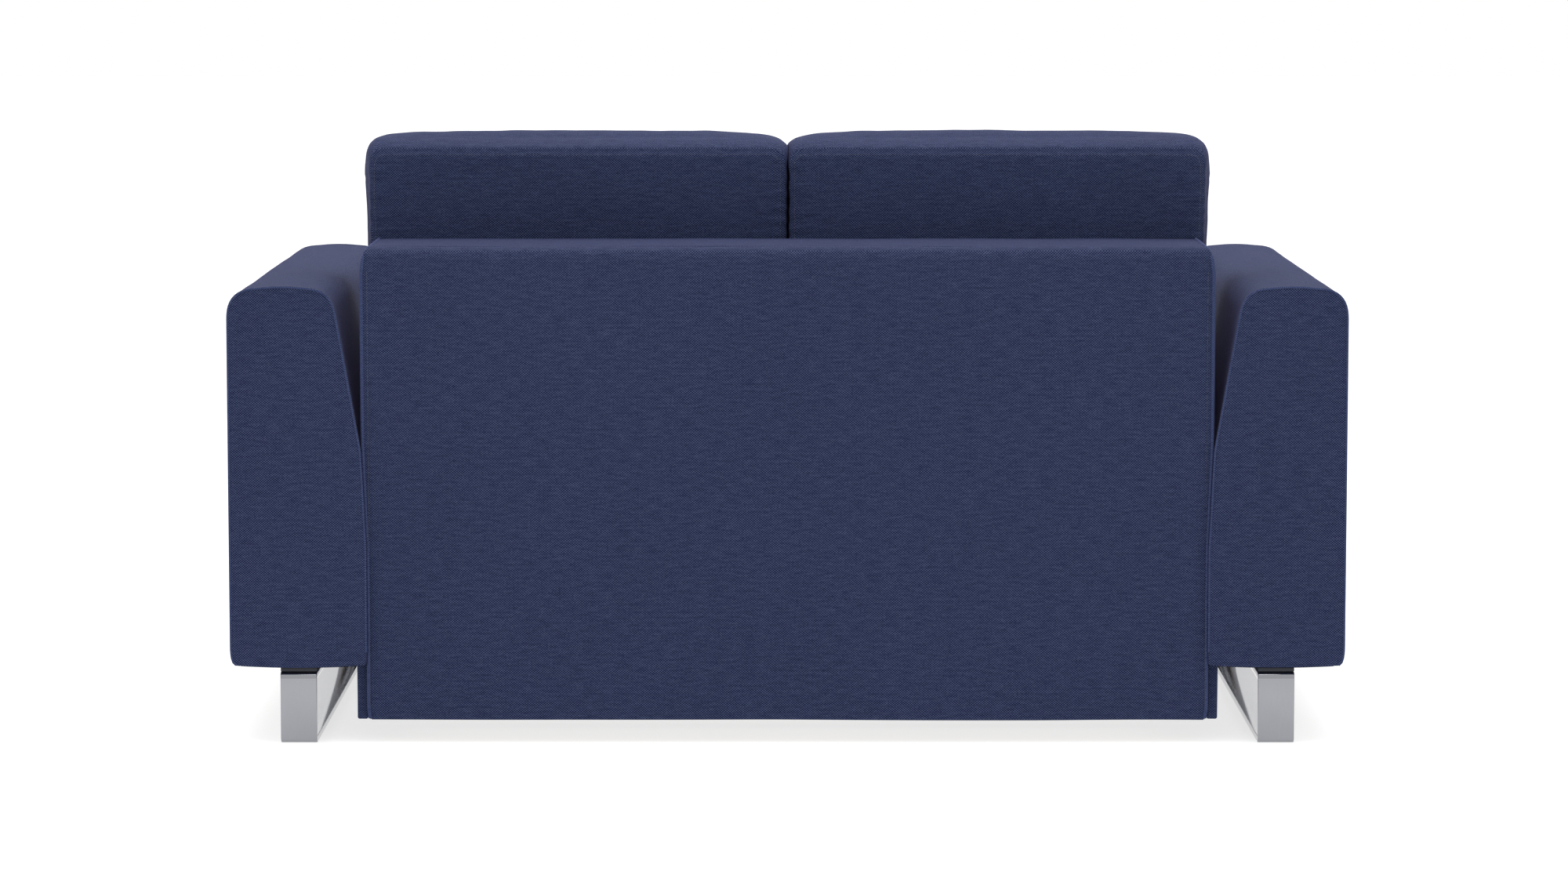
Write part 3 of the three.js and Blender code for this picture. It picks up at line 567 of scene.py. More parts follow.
def grow(name, tree, vertices, edges, sizes, finish, facing=None):
    """Runs a tree over a small mesh and returns the result as a plain mesh object."""
    mesh = bpy.data.meshes.new(name)
    mesh.from_pydata([tuple(v) for v in vertices], edges, [])
    if facing is not None:
        layer = mesh.attributes.new("facing", "FLOAT_VECTOR", "POINT")
        layer.data.foreach_set("vector", np.array(facing, np.float32).ravel())
    obj = bpy.data.objects.new(name, mesh)
    bpy.context.collection.objects.link(obj)
    modifier = obj.modifiers.new("grow", "NODES")
    modifier.node_group = tree
    identifiers = {item.name: item.identifier for item in tree.interface.items_tree
                   if item.in_out == "INPUT"}
    for label, value in sizes.items():
        modifier[identifiers[label]] = value
    modifier[identifiers["Material"]] = FINISHES[finish]
    bpy.context.view_layer.update()
    bake_modifiers(obj)
    return obj


def path_edges(count, closed=False):
    edges = [(i, i + 1) for i in range(count - 1)]
    return edges + [(count - 1, 0)] if closed else edges


def add_piping(name, path, radius, body, finish="piping", step=0.006, closed=False):
    """Sews a round cord along the path."""
    cord = grow(name, piping_tree(), path, path_edges(len(path), closed),
                {"Radius": radius, "Step": step}, finish)
    lay_weave(cord)
    finish_piece(cord, body, finish)


def add_stitches(name, path, body, sizes, edges=None):
    """Sews a row of stitches along the path."""
    thread = grow(name, stitch_tree(), path, edges or path_edges(len(path)),
                  {"Pitch": sizes.stitch_pitch, "Gauge": sizes.stitch_gauge, "Share": 0.36}, "thread")
    finish_piece(thread, body, "thread")


# ---------- materials ----------


def new_material(name):
    material = bpy.data.materials.new(name)
    material.use_nodes = True
    return material, material.node_tree, material.node_tree.nodes["Principled BSDF"]


def place_on_piece(tree):
    return add_node(tree, "ShaderNodeTexCoord").outputs["Object"]


def place_on_cloth(tree):
    return add_node(tree, "ShaderNodeUVMap", uv_map=UV_NAME).outputs[0]


def cloud(tree, vector, scale, detail=2.0, roughness=0.5):
    return add_node(tree, "ShaderNodeTexNoise", {
        "Vector": vector, "Scale": scale, "Detail": detail, "Roughness": roughness}).outputs["Fac"]


def stretched(tree, vector, scale, location=(0, 0, 0)):
    return add_node(tree, "ShaderNodeMapping", {
        "Vector": vector, "Scale": scale, "Location": location}).outputs[0]


def ramp(tree, factor, stops):
    node = add_node(tree, "ShaderNodeValToRGB", {"Fac": factor})
    elements = node.color_ramp.elements
    while len(elements) < len(stops):
        elements.new(0.5)
    for element, (place, value) in zip(elements, stops):
        element.position = place
        element.color = (*value, 1)
    return node.outputs["Color"]


def relief(tree, shader, height, distance, strength=1.0):
    bump = add_node(tree, "ShaderNodeBump", {
        "Height": height, "Distance": distance, "Strength": strength})
    tree.links.new(bump.outputs[0], shader.inputs["Normal"])


def scaled(rgb, factor):
    return tuple(min(1.0, c * factor) for c in rgb)


def cloth_material(name, colours, pitch, fleck, depth):
    """Plain-woven cloth: raised threads in a checker, uneven yarn, flecks and slow mottling."""
    material, tree, shader = new_material(name)
    dark, body, light = colours
    weave = place_on_cloth(tree)
    place = place_on_piece(tree)
    wobble = add_node(tree, "ShaderNodeTexNoise", {"Vector": weave, "Scale": 60.0, "Detail": 1.0})
    moved = add_node(tree, "ShaderNodeVectorMath", {
        0: wobble.outputs["Color"], 1: (0.0011, 0.0011, 0)}, operation="MULTIPLY_ADD")
    tree.links.new(weave, moved.inputs[2])
    axes = add_node(tree, "ShaderNodeSeparateXYZ", {0: moved.outputs[0]})
    waves = [number(tree, "SINE", number(tree, "MULTIPLY", axes.outputs[a], TAU / size))
             for a, size in (("X", pitch * 1.14), ("Y", pitch))]
    checker = number(tree, "MULTIPLY", waves[0], waves[1])
    warp = cloud(tree, stretched(tree, weave, (0.9 / pitch, 45, 1)), 1.0)
    weft = cloud(tree, stretched(tree, weave, (45, 0.9 / pitch, 1), (7, 3, 5)), 1.0)
    yarn = number(tree, "MULTIPLY_ADD", warp, 0.4, number(tree, "MULTIPLY", weft, 1.6))
    grain = cloud(tree, weave, 1.1 / pitch, 1.0)
    raised = number(tree, "MULTIPLY_ADD", checker, 0.62, 0.5)
    spun = number(tree, "MULTIPLY_ADD", number(tree, "SUBTRACT", yarn, 1.0), 0.35, raised)
    tone = number(tree, "MULTIPLY_ADD", number(tree, "SUBTRACT", grain, 0.5), fleck, spun)
    woven = ramp(tree, tone, ((0.0, dark), (0.50, body), (1.0, light)))
    slow = cloud(tree, place, 5.5, 3.0, 0.6)
    shade_of = number(tree, "MULTIPLY_ADD", slow, 0.16, 0.92)
    tinted = add_node(tree, "ShaderNodeVectorMath", {0: woven, "Scale": shade_of}, operation="SCALE")
    bloom = scaled((light[0] * 1.3, light[1] * 0.8, light[2]), 5)
    feed(tree, shader, {
        "Base Color": tinted.outputs[0],
        "Roughness": number(tree, "MULTIPLY_ADD", tone, -0.12, 0.93),
        "Specular IOR Level": 0.14,
        "Sheen Weight": 0.075,
        "Sheen Roughness": 0.42,
        "Sheen Tint": (*bloom, 1)})
    relief(tree, shader, tone, depth, 0.55)
    return material


def ticking_material(name, base, stripe):
    """Knitted mattress cloth with fine ribs and a few woven stripes."""
    material, tree, shader = new_material(name)
    weave = place_on_cloth(tree)
    axes = add_node(tree, "ShaderNodeSeparateXYZ", {0: weave})
    ribs = number(tree, "SINE", number(tree, "MULTIPLY", axes.outputs["X"], TAU / 0.0022))
    rows = number(tree, "SINE", number(tree, "MULTIPLY", axes.outputs["Y"], TAU / 0.0016))
    knit = number(tree, "MULTIPLY", ribs, rows)
    band = number(tree, "PINGPONG", axes.outputs["X"], 0.05)
    inside = number(tree, "LESS_THAN", band, 0.0022)
    second = number(tree, "COMPARE", band, 0.0055, 0.0007)
    striped = number(tree, "MAXIMUM", inside, second)
    grain = cloud(tree, weave, 240.0, 2.0)
    tone = number(tree, "MULTIPLY_ADD", knit, 0.10, number(tree, "MULTIPLY_ADD", grain, 0.4, 0.3))
    ground = ramp(tree, tone, ((0.2, scaled(base, 0.78)), (0.8, scaled(base, 1.12))))
    lines = ramp(tree, tone, ((0.2, scaled(stripe, 0.7)), (0.8, scaled(stripe, 1.3))))
    mixed = add_node(tree, "ShaderNodeMix", {"Factor": striped, 6: ground, 7: lines}, data_type="RGBA")
    feed(tree, shader, {
        "Base Color": mixed.outputs[2],
        "Roughness": number(tree, "MULTIPLY_ADD", grain, 0.15, 0.78),
        "Sheen Weight": 0.15})
    relief(tree, shader, tone, 0.0004, 0.5)
    return material


def thread_material(name, base):
    """Twisted sewing thread with a fine fuzz."""
    material, tree, shader = new_material(name)
    place = place_on_piece(tree)
    fuzz = cloud(tree, place, 900.0, 2.0)
    feed(tree, shader, {
        "Base Color": ramp(tree, fuzz, ((0.3, scaled(base, 0.7)), (0.7, scaled(base, 1.3)))),
        "Roughness": number(tree, "MULTIPLY_ADD", fuzz, 0.2, 0.55),
        "Sheen Weight": 0.3})
    relief(tree, shader, fuzz, 0.0003, 0.6)
    return material


def satin_material(name, base):
    """Flat bar ground along its length: fine lines, a few scuffs and cloudy gloss."""
    material, tree, shader = new_material(name)
    place = place_on_piece(tree)
    lines = cloud(tree, stretched(tree, place, (1400, 9, 60)), 1.0, 2.0)
    smear = cloud(tree, place, 14.0, 3.0)
    scuff = cloud(tree, stretched(tree, place, (90, 25, 90)), 1.0, 4.0, 0.7)
    tone = number(tree, "MULTIPLY_ADD", lines, 0.5, number(tree, "MULTIPLY", smear, 0.5))
    ground = number(tree, "MULTIPLY_ADD", lines, 0.04, 0.05)
    feed(tree, shader, {
        "Base Color": ramp(tree, tone, ((0.25, scaled(base, 0.95)), (0.75, scaled(base, 1.04)))),
        "Roughness": number(tree, "MULTIPLY_ADD", scuff, 0.05, ground),
        "Metallic": 1.0})
    relief(tree, shader, lines, 0.00002, 0.15)
    return material


def zinc_material(name, base):
    """Plating with fine crystals under a haze."""
    material, tree, shader = new_material(name)
    place = place_on_piece(tree)
    crystals = add_node(tree, "ShaderNodeTexVoronoi", {"Vector": place, "Scale": 130.0})
    haze = cloud(tree, place, 40.0, 3.0)
    tone = number(tree, "MULTIPLY_ADD", crystals.outputs["Color"], 0.35,
                  number(tree, "MULTIPLY", haze, 0.65))
    feed(tree, shader, {
        "Base Color": ramp(tree, tone, ((0.2, scaled(base, 0.75)), (0.8, scaled(base, 1.2)))),
        "Roughness": number(tree, "MULTIPLY_ADD", tone, 0.25, 0.22),
        "Metallic": 1.0})
    relief(tree, shader, haze, 0.0002, 0.15)
    return material


def coat_material(name, base, rough, peel):
    """A smooth coat or moulding with fine orange peel and slightly paler worn patches."""
    material, tree, shader = new_material(name)
    place = place_on_piece(tree)
    fine = cloud(tree, place, peel, 2.0)
    wear = cloud(tree, place, 22.0, 4.0, 0.65)
    feed(tree, shader, {
        "Base Color": ramp(tree, wear, ((0.35, base), (0.72, scaled(base, 1.7)))),
        "Roughness": number(tree, "MULTIPLY_ADD", wear, 0.2, rough)})
    relief(tree, shader, fine, 0.0003, 0.35)
    return material


def wood_material(name, base):
    """Bare plywood: long flowing grain and fine pores."""
    material, tree, shader = new_material(name)
    place = place_on_piece(tree)
    flow = cloud(tree, stretched(tree, place, (6, 60, 5)), 1.0, 4.0, 0.6)
    pores = cloud(tree, stretched(tree, place, (40, 900, 30)), 1.0, 2.0)
    tone = number(tree, "MULTIPLY_ADD", pores, 0.3, number(tree, "MULTIPLY", flow, 0.7))
    stops = ((0.25, scaled(base, 0.62)), (0.5, base), (0.8, scaled(base, 1.3)))
    feed(tree, shader, {
        "Base Color": ramp(tree, tone, stops),
        "Roughness": number(tree, "MULTIPLY_ADD", pores, 0.2, 0.55)})
    relief(tree, shader, tone, 0.0004, 0.3)
    return material


def painted_shade_material(name, base):
    """Near-black matt sheet with fine fibres, painted shade under the arms."""
    material, tree, shader = new_material(name)
    place = place_on_piece(tree)
    fibres = cloud(tree, place, 700.0, 3.0)
    feed(tree, shader, {
        "Base Color": ramp(tree, fibres, ((0.3, scaled(base, 0.7)), (0.7, scaled(base, 1.5)))),
        "Roughness": 1.0,
        "Specular IOR Level": 0.0})
    relief(tree, shader, fibres, 0.0003, 0.4)
    return material


def floor_material(name, base):
    """A pale, evenly lit floor."""
    material, tree, shader = new_material(name)
    place = place_on_piece(tree)
    haze = cloud(tree, place, 1.5, 2.0)
    feed(tree, shader, {
        "Base Color": ramp(tree, haze, ((0.2, scaled(base, 0.99)), (0.8, scaled(base, 1.01)))),
        "Roughness": 0.9,
        "Specular IOR Level": 0.1,
        "Emission Color": (1, 1, 1, 1),
        "Emission Strength": FLOOR_GLOW})
    return material


def make_finishes(colours):
    cloth = (colours.cloth_dark, colours.cloth, colours.cloth_light)
    # The piping and welts get the navy cloth painted 1.5 times paler: a painted highlight for the light
    # that their round cords catch.
    paler = tuple(scaled(c, 1.5) for c in cloth)
    FINISHES.update({
        "cloth": cloth_material("navy upholstery cloth", cloth, pitch=0.0034, fleck=0.55, depth=0.0006),
        "piping": cloth_material("navy piping cloth", paler, pitch=0.0026, fleck=0.35, depth=0.0004),
        "thread": thread_material("navy thread", colours.thread),
        "ticking": ticking_material("mattress ticking", colours.ticking, colours.stripe),
        "satin": satin_material("satin steel", colours.satin),
        "zinc": zinc_material("zinc plate", colours.zinc),
        "coat": coat_material("dark powder coat", colours.coat, rough=0.36, peel=700.0),
        "plastic": coat_material("black moulded plastic", colours.plastic, rough=0.5, peel=1600.0),
        "wood": wood_material("plywood", colours.wood),
        # The near-black finish below is painted shade for the sheets under the arms.
        "painted_shade_black": painted_shade_material("black lining", colours.painted_shade_black),
        "floor": floor_material("studio floor", colours.floor),
    })


# ---------- upholstered arms ----------


def arm_outline(low, high, sign, sizes, notch):
    """The arm's section seen from the front: (x, z) from the inner bottom round to it again."""
    inner = low.x if sign > 0 else -high.x
    outer = high.x if sign > 0 else -low.x
    bottom, top = low.z, high.z
    crown = top - 0.002
    shoulder = inner + sizes.shoulder_set
    shoulder_z = top - sizes.shoulder_drop
    knee = (inner + sizes.knee_set, sizes.knee_height)
    straight = (inner, sizes.straight_height)
    r = sizes.arm_corner
    foot = bottom + sizes.arm_belly
    points = bow((inner, foot + r), (inner, foot), (inner + r, foot), 5)
    sag = line((inner + r, bottom), (outer - 0.008, bottom), ARM_BOTTOM_POINTS - 5)
    for i, point in enumerate(sag):
        point[1] += sizes.arm_belly * (2 * i / len(sag) - 1) ** 2
    points += sag
    points += bow((outer - 0.008, bottom + sizes.arm_belly), (outer, bottom + 0.005),
                  (outer, bottom + 0.030), 6)
    points += line((outer, bottom + 0.030), (outer, shoulder_z - 0.005), 24)
    points += bow((outer, shoulder_z - 0.005), (outer, crown), (outer - 0.045, crown), 10)
    points += bow((outer - 0.045, crown), (outer - 0.077, top + 0.002), (shoulder + 0.043, crown), 6)
    points += bow((shoulder + 0.043, crown), (shoulder + 0.006, crown), (shoulder, shoulder_z), 12)
    points += bow((shoulder, shoulder_z), (shoulder - 0.004, shoulder_z - 0.022),
                  (shoulder - 0.0075, shoulder_z - 0.043), 3)
    points += line((shoulder - 0.0075, shoulder_z - 0.043), knee, 12)
    points += line(knee, straight, 8)
    points += line(straight, (inner, foot + r), 12)
    outline = np.array(points)
    if notch:
        board_low, board_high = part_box("side_board_left")
        inside = (outline[:, 0] < inner + 0.02) & (outline[:, 1] < board_high.z + 0.001)
        outline[inside, 0] = np.maximum(outline[inside, 0], inner + board_high.x - board_low.x + 0.0006)
    outline[:, 0] *= sign
    return outline


def make_arm(side, sign, sizes):
    low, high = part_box(f"arm_cover_{side}")
    plain = arm_outline(low, high, sign, sizes, notch=False)
    notched = arm_outline(low, high, sign, sizes, notch=True)
    edge = sizes.arm_edge
    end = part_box("side_board_left")[1].y + 0.0004

    def ring(y, outline):
        return np.insert(outline, 1, y, axis=1)

    ys_end = [high.y - edge * (1 - math.sin(math.pi / 2 * i / 4)) for i in range(5)]
    insets = [edge * (1 - math.cos(math.pi / 2 * i / 4)) for i in range(5)]
    rear = [ring(y, inset_loop(plain, inset)) for y, inset in zip(ys_end, insets)]
    front = [ring(-y, inset_loop(plain, inset)) for y, inset in zip(ys_end, insets)]
    middle = [ring(y, notched) for y in np.linspace(-end, end, 42)]
    rings = cap_rings(front[-1]) + front[::-1]
    rings += [ring(-end - 0.0003, plain)] + middle + [ring(end + 0.0003, plain)]
    rings += rear + cap_rings(rear[-1])[::-1]
    arm = loft(f"arm_{side}", rings)
    dome_panel(arm, 1, high.y, plain, sizes.panel_dome)
    dome_panel(arm, 1, -high.y, plain, -sizes.panel_dome)
    lay_weave(arm)
    wrap_weave(arm, plain, edge)
    loosen(arm, 0.0011, 0.16, 1 + sign)
    finish_piece(arm, "body", "cloth", [f"arm_cover_{side}"])

    welt_path = inset_loop(plain, sizes.welt_radius * 0.6)
    from_outer = welt_path[ARM_BOTTOM_POINTS:]
    for name, y in (("front", -high.y), ("rear", high.y)):
        inward = -math.copysign(sizes.welt_radius * 0.5, y)
        path = [(p[0], y + inward, p[1]) for p in from_outer]
        add_piping(f"arm_welt_{side}_{name}", path, sizes.welt_radius, "body")
        row = inset_loop(plain, -0.0001)[ARM_BOTTOM_POINTS:]
        stitched = [(p[0], y - math.copysign(0.0095, y), p[1]) for p in row]
        add_stitches(f"arm_stitches_{side}_{name}", stitched, "body", sizes)


def make_painted_shade_sheet(side, sign, sizes):
    """A near-black sheet under the arm, painted shade for its underside and for its reflection in the
    legs, which follows the sag of the arm's lower side.
    """
    low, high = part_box(f"arm_cover_{side}")
    board_low, board_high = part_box("side_board_left")
    margin = sizes.painted_shade_margin
    inner = min(abs(low.x), abs(high.x)) + board_high.x - board_low.x + 0.002
    outer = max(abs(low.x), abs(high.x)) - margin
    near, far = sorted((sign * inner, sign * outer))
    cover = soft_box(f"painted_shade_sheet_{side}", (near, low.y + margin, low.z - sizes.painted_shade_sheet),
                     (far, high.y - margin, low.z - 0.0002), 0.0004)
    co = points_of(cover.data)
    co[:, 2] += sizes.arm_belly * (2 * (co[:, 0] - low.x) / (high.x - low.x) - 1) ** 2
    set_points(cover.data, co)
    finish_piece(cover, "body", "painted_shade_black")


def wrap_weave(arm, outline, edge):
    """Lays the wrap's weave along its own length round the arm."""
    steps = np.linalg.norm(np.roll(outline, -1, axis=0) - outline, axis=1)
    travelled = np.concatenate([[0], np.cumsum(steps)[:-1]])
    tree = kdtree.KDTree(len(outline))
    for i, point in enumerate(outline):
        tree.insert((point[0], 0, point[1]), i)
    tree.balance()
    co = points_of(arm.data)
    reach = np.abs(co[:, 1]).max() - edge * 1.2
    along, across = [], []
    for x, y, z in co:
        _, index, distance = tree.find((x, 0, z))
        on_wrap = abs(y) < reach and distance < 0.002
        along.append(travelled[index] if on_wrap else None)
        across.append(y)
    lay_weave_round(arm, along, across)


# ---------- rear panel and ledge ----------


def panel_half_width(z, sizes):
    """Half width of the rear panel and ledge at height z, beside the arm's inner side."""
    body_low, body_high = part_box("rear_cover")
    foot = body_high.x - sizes.panel_spread
    lean = sizes.knee_height - sizes.straight_height
    rise = min(1, max(0, (z - sizes.straight_height) / lean))
    half = foot + sizes.panel_spread * rise
    into = min(1, max(0, (z - (body_high.z - sizes.corner_drop)) / sizes.corner_drop))
    half -= sizes.corner_set * (1 - math.sqrt(max(0, 1 - into ** 2)))
    chamfer = max(0, body_low.z + 0.005 - z)
    return half - chamfer


def panel_stations(reach, edge, step):
    """Places across a panel as (share of its half width, distance from its side edge)."""
    inner = np.linspace(-1, 1, int(2 * reach / step) + 1)
    near = [edge * (1 - math.cos(math.pi / 2 * i / 5)) for i in range(6)]
    rows = [(-1 + d / reach, d) for d in near[:-1]]
    rows += [(u, edge) for u in inner if abs(u) < 1 - 1.2 * edge / reach]
    rows += [(1 - d / reach, d) for d in reversed(near[:-1])]
    return rows


def profile_loft(name, profile, half_at, stations, edge, squeeze):
    """A profile in the (y, z) plane carried across the width; squeeze rounds it at the ends."""
    rings = []
    for share, distance in stations:
        inset = edge - math.sqrt(max(0, edge ** 2 - (edge - distance) ** 2))
        shrunk = squeeze(profile, inset)
        rings.append(np.array([(share * half_at(z), y, z) for y, z in shrunk]))
    first = [rings[0] + (rings[0].mean(axis=0) - rings[0]) * s for s in (1.0, 0.5)]
    last = [rings[-1] + (rings[-1].mean(axis=0) - rings[-1]) * s for s in (0.5, 1.0)]
    return loft(name, first + rings + last)


def rear_profile(low, high, sizes):
    """The rear cover's section: up the face, round the top, down behind the lip."""
    face, lip, top, bottom = high.y, low.y, high.z, low.z
    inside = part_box("rear_board")[1].y + 0.0003
    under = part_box("rear_board")[1].z + 0.0003
    r = sizes.panel_round
    points = line((inside, bottom + 0.001), (face - 0.004, bottom), 3)
    points += bow((face - 0.004, bottom), (face, bottom), (face, bottom + 0.004), 4)
    points += line((face, bottom + 0.004), (face, top - r), 40)
    points += bow((face, top - r), (face, top), (face - r, top), 12)
    points += line((face - r, top), (lip + 0.001, top - 0.0002), 2)
    points += bow((lip + 0.001, top - 0.0002), (lip, top - 0.0002), (lip, top - 0.0012), 3)
    points += line((lip, top - 0.0012), (lip, under), 3)
    points += line((lip, under), (inside, under), 2)
    points += line((inside, under), (inside, bottom + 0.001), 20)
    return np.array(points)


def make_rear_panel(sizes):
    low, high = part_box("rear_cover")

    def half_at(z):
        return panel_half_width(z, sizes)

    def squeeze(profile, inset):
        shrunk = profile.copy()
        shrunk[:, 0] = np.minimum(shrunk[:, 0], high.y - inset)
        shrunk[:, 1] = np.minimum(shrunk[:, 1], high.z - inset * 0.5)
        return shrunk

    stations = panel_stations(high.x, 0.005, 0.022)
    panel = profile_loft("rear_panel", rear_profile(low, high, sizes), half_at, stations, 0.005, squeeze)
    co = points_of(panel.data)
    across = np.clip(1 - (co[:, 0] / high.x) ** 4, 0, 1)
    up = np.clip((co[:, 2] - low.z) / (high.z - low.z), 0, 1)
    on_face = co[:, 1] > high.y - 0.0008
    co[:, 1] += np.where(on_face, 0.0022 * across * np.sin(math.pi * up) ** 0.5, 0)
    set_points(panel.data, co)
    lay_weave(panel)
    loosen(panel, 0.0010, 0.22, 5)
    finish_piece(panel, "body", "cloth", ["rear_cover"])

    r = sizes.panel_round
    heights = np.linspace(low.z + 0.003, high.z - r, 46)
    turns = np.linspace(0.12, math.pi / 2, 9)
    bend = [(high.y - r * (1 - math.cos(t)) - PIPING_SUNK * math.cos(t),
             high.z - r + r * math.sin(t) - PIPING_SUNK) for t in turns]
    for side, sign in SIDES:
        face = [(sign * (half_at(z) - PIPING_INSET), high.y - PIPING_SUNK, z) for z in heights]
        over = [(sign * (half_at(z) - PIPING_INSET), y, z) for y, z in bend]
        over.append((over[-1][0], low.y + 0.001, over[-1][2]))
        path = face + over
        add_piping(f"panel_piping_{side}", path, sizes.piping_radius, "body")
        beside = half_at(low.z + 0.02) - 0.0035
        row = [(sign * beside, high.y + 0.0002, z) for z in heights[:-1]]
        add_stitches(f"panel_stitches_{side}", row, "body", sizes)


def make_ledge(sizes):
    low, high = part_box("ledge_cap")
    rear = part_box("rear_board")[0].y - 0.0006
    edge = 0.004

    def corner(y, z, start):
        turns = [start + math.pi / 2 * i / 4 for i in range(5)]
        return [(y + edge * math.cos(t), z + edge * math.sin(t)) for t in turns]

    loop = corner(rear - edge, low.z + edge, -math.pi / 2)
    tight = 0.0012
    loop += [(rear, high.z - 0.012), (rear, high.z - 0.004)]
    loop += bow((rear, high.z - tight), (rear, high.z), (rear - tight, high.z), 3)
    loop += line((rear - tight, high.z), (low.y + edge, high.z), 16)
    loop += corner(low.y + edge, high.z - edge, math.pi / 2)
    loop += corner(low.y + edge, low.z + edge, math.pi)
    loop += line((low.y + edge, low.z), (rear - edge, low.z), 12)[1:]
    profile = np.array([tuple(p) for p in loop])

    def half_at(z):
        return panel_half_width(z, sizes)

    middle = np.array([(low.y + rear) / 2, (low.z + high.z) / 2])

    def squeeze(section, inset):
        reach = np.array([(rear - low.y) / 2, (high.z - low.z) / 2])
        return middle + (section - middle) * (1 - np.array([0, inset]) / reach)

    ledge = profile_loft("ledge", profile, half_at, panel_stations(high.x, 0.006, 0.024), 0.006, squeeze)
    co = points_of(ledge.data)
    across = np.clip(1 - (co[:, 0] / high.x) ** 6, 0, 1)
    deep = np.clip((co[:, 1] - low.y) / (rear - low.y), 0, 1)
    on_top = co[:, 2] > high.z - 0.002
    co[:, 2] += np.where(on_top, 0.0022 * across * np.sin(math.pi * deep) ** 0.6, 0)
    set_points(ledge.data, co)
    loosen(ledge, 0.0009, 0.12, 8)
    lay_weave(ledge)
    finish_piece(ledge, "back_section", "cloth", ["ledge_cap"])
    for side, sign in SIDES:
        z = high.z - PIPING_INSET
        depths = np.linspace(rear - 0.001, low.y + 0.003, 24)
        path = [(sign * (half_at(z) - PIPING_INSET), y, z) for y in depths]
        add_piping(f"ledge_piping_{side}", path, sizes.piping_radius, "back_section")


def make_ledge_sides(sizes):
    """Covered boards that close the space between the back cushions and the rear panel."""
    ledge_low, ledge_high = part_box("ledge_cap")
    pad_low, pad_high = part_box("back_pad")
    for side, sign in SIDES:
        near = pad_high.x + 0.001
        far = near + sizes.side_cover
        low = (sign * near if sign > 0 else -far, pad_low.y, pad_low.z - 0.02)
        high = (sign * far if sign > 0 else -near, ledge_high.y - 0.003, ledge_low.z - 0.0006)
        board = soft_box(f"ledge_side_{side}", low, high, 0.0025, 0.02)
        lay_weave(board)
        finish_piece(board, "back_section", "cloth")


# ---------- covered boards ----------


def covered_board(node, name, body, sizes, crown, edge=None, step=0.022, seed=3):
    low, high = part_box(node)
    board = soft_box(name, low, high, edge or sizes.board_edge, step, crown)
    lay_weave(board)
    loosen(board, 0.0007, 0.14, seed)
    finish_piece(board, body, "cloth", [node])
    return board


# ---------- cushions ----------


def inflate(obj, settings, pinned, swell):
    """Swells the mesh as cloth under pressure; swell caps how far each point may move, per axis."""
    start = points_of(obj.data)
    group = obj.vertex_groups.new(name="seams")
    for index in np.nonzero(pinned > 0)[0]:
        group.add([int(index)], float(pinned[index]), "REPLACE")
    cloth = obj.modifiers.new("cloth", "CLOTH")
    for setting, value in CLOTH.items():
        setattr(cloth.settings, setting, value)
    cloth.settings.uniform_pressure_force = settings.pressure
    cloth.settings.effector_weights.gravity = 0
    cloth.collision_settings.use_collision = False
    cloth.point_cache.frame_start = 1
    cloth.point_cache.frame_end = settings.frames
    scene = bpy.context.scene
    for moment in range(1, settings.frames + 1):
        scene.frame_set(moment)
    graph = bpy.context.evaluated_depsgraph_get()
    swollen = points_of(obj.evaluated_get(graph).data)
    obj.modifiers.clear()
    obj.vertex_groups.clear()
    scene.frame_set(1)
    moved = swollen - start
    for axis in range(3):
        for sign in (-1, 1):
            reach = swell[axis][0 if sign < 0 else 1]
            most = np.percentile(np.maximum(moved[:, axis] * sign, 0), 99.8)
            factor = reach / most if most > 1e-5 else 0
            side = moved[:, axis] * sign > 0
            moved[side, axis] *= factor
    return start + moved


def nearest_distance(co, path):
    tree = kdtree.KDTree(len(path))
    for i, point in enumerate(path):
        tree.insert(point, i)
    tree.balance()
    found = [tree.find(point) for point in co]
    return np.array([f[2] for f in found]), np.array([f[1] for f in found])


def densified(loop, step=0.002):
    """Points step apart along a closed loop."""
    dense = []
    for a, b in zip(loop, np.roll(loop, -1, axis=0)):
        count = max(1, int(np.linalg.norm(b - a) / step))
        dense += [a + (b - a) * i / count for i in range(count)]
    return np.array(dense)


def sewn_cushion(name, base, loops, settings, swell, seed):
    """Remeshes a base shape, swells it between its seams and draws the seams in."""
    low = points_of(base.data).min(axis=0)
    high = points_of(base.data).max(axis=0)
    remesh = base.modifiers.new("cloth grain", "REMESH")
    remesh.mode = "VOXEL"
    remesh.voxel_size = settings.voxel * 1
    bake_modifiers(base)
    path = np.concatenate([densified(loop) for loop in loops])
    start = points_of(base.data)
    distance, _ = nearest_distance(start, path)
    pinned = np.where(distance < settings.voxel * 1.6, 1.0, 0.0)
    swollen = inflate(base, settings, pinned, swell)
    keep_rest(base.data, start)
    set_points(base.data, swollen)
    subdivide_once(base)
    mesh = base.data
    rest = rest_points(mesh)
    distance, index = nearest_distance(rest, path)
    normals = normals_of(mesh)
    co = points_of(mesh)
    furrow = -settings.seam_depth * np.exp(-(distance / settings.seam_width) ** 2)
    ripple = np.sin(index * 0.002 * TAU / 0.021 + 2.3 * np.sin(index * 0.002 * TAU / 0.137 + seed))
    fade = np.exp(-distance / 0.022) * (1 - np.exp(-distance / 0.006))
    pulls = settings.pucker * ripple * fade
    slow = unevenness(rest, 0.0016, 0.11, seed) + unevenness(rest, 0.0007, 0.035, seed + 4)
    set_points(mesh, co + normals * (furrow + pulls + slow * np.clip(distance / 0.03, 0, 1))[:, None])
    base.name = name
    shade_smooth(base)
    lay_weave(base)
    return base


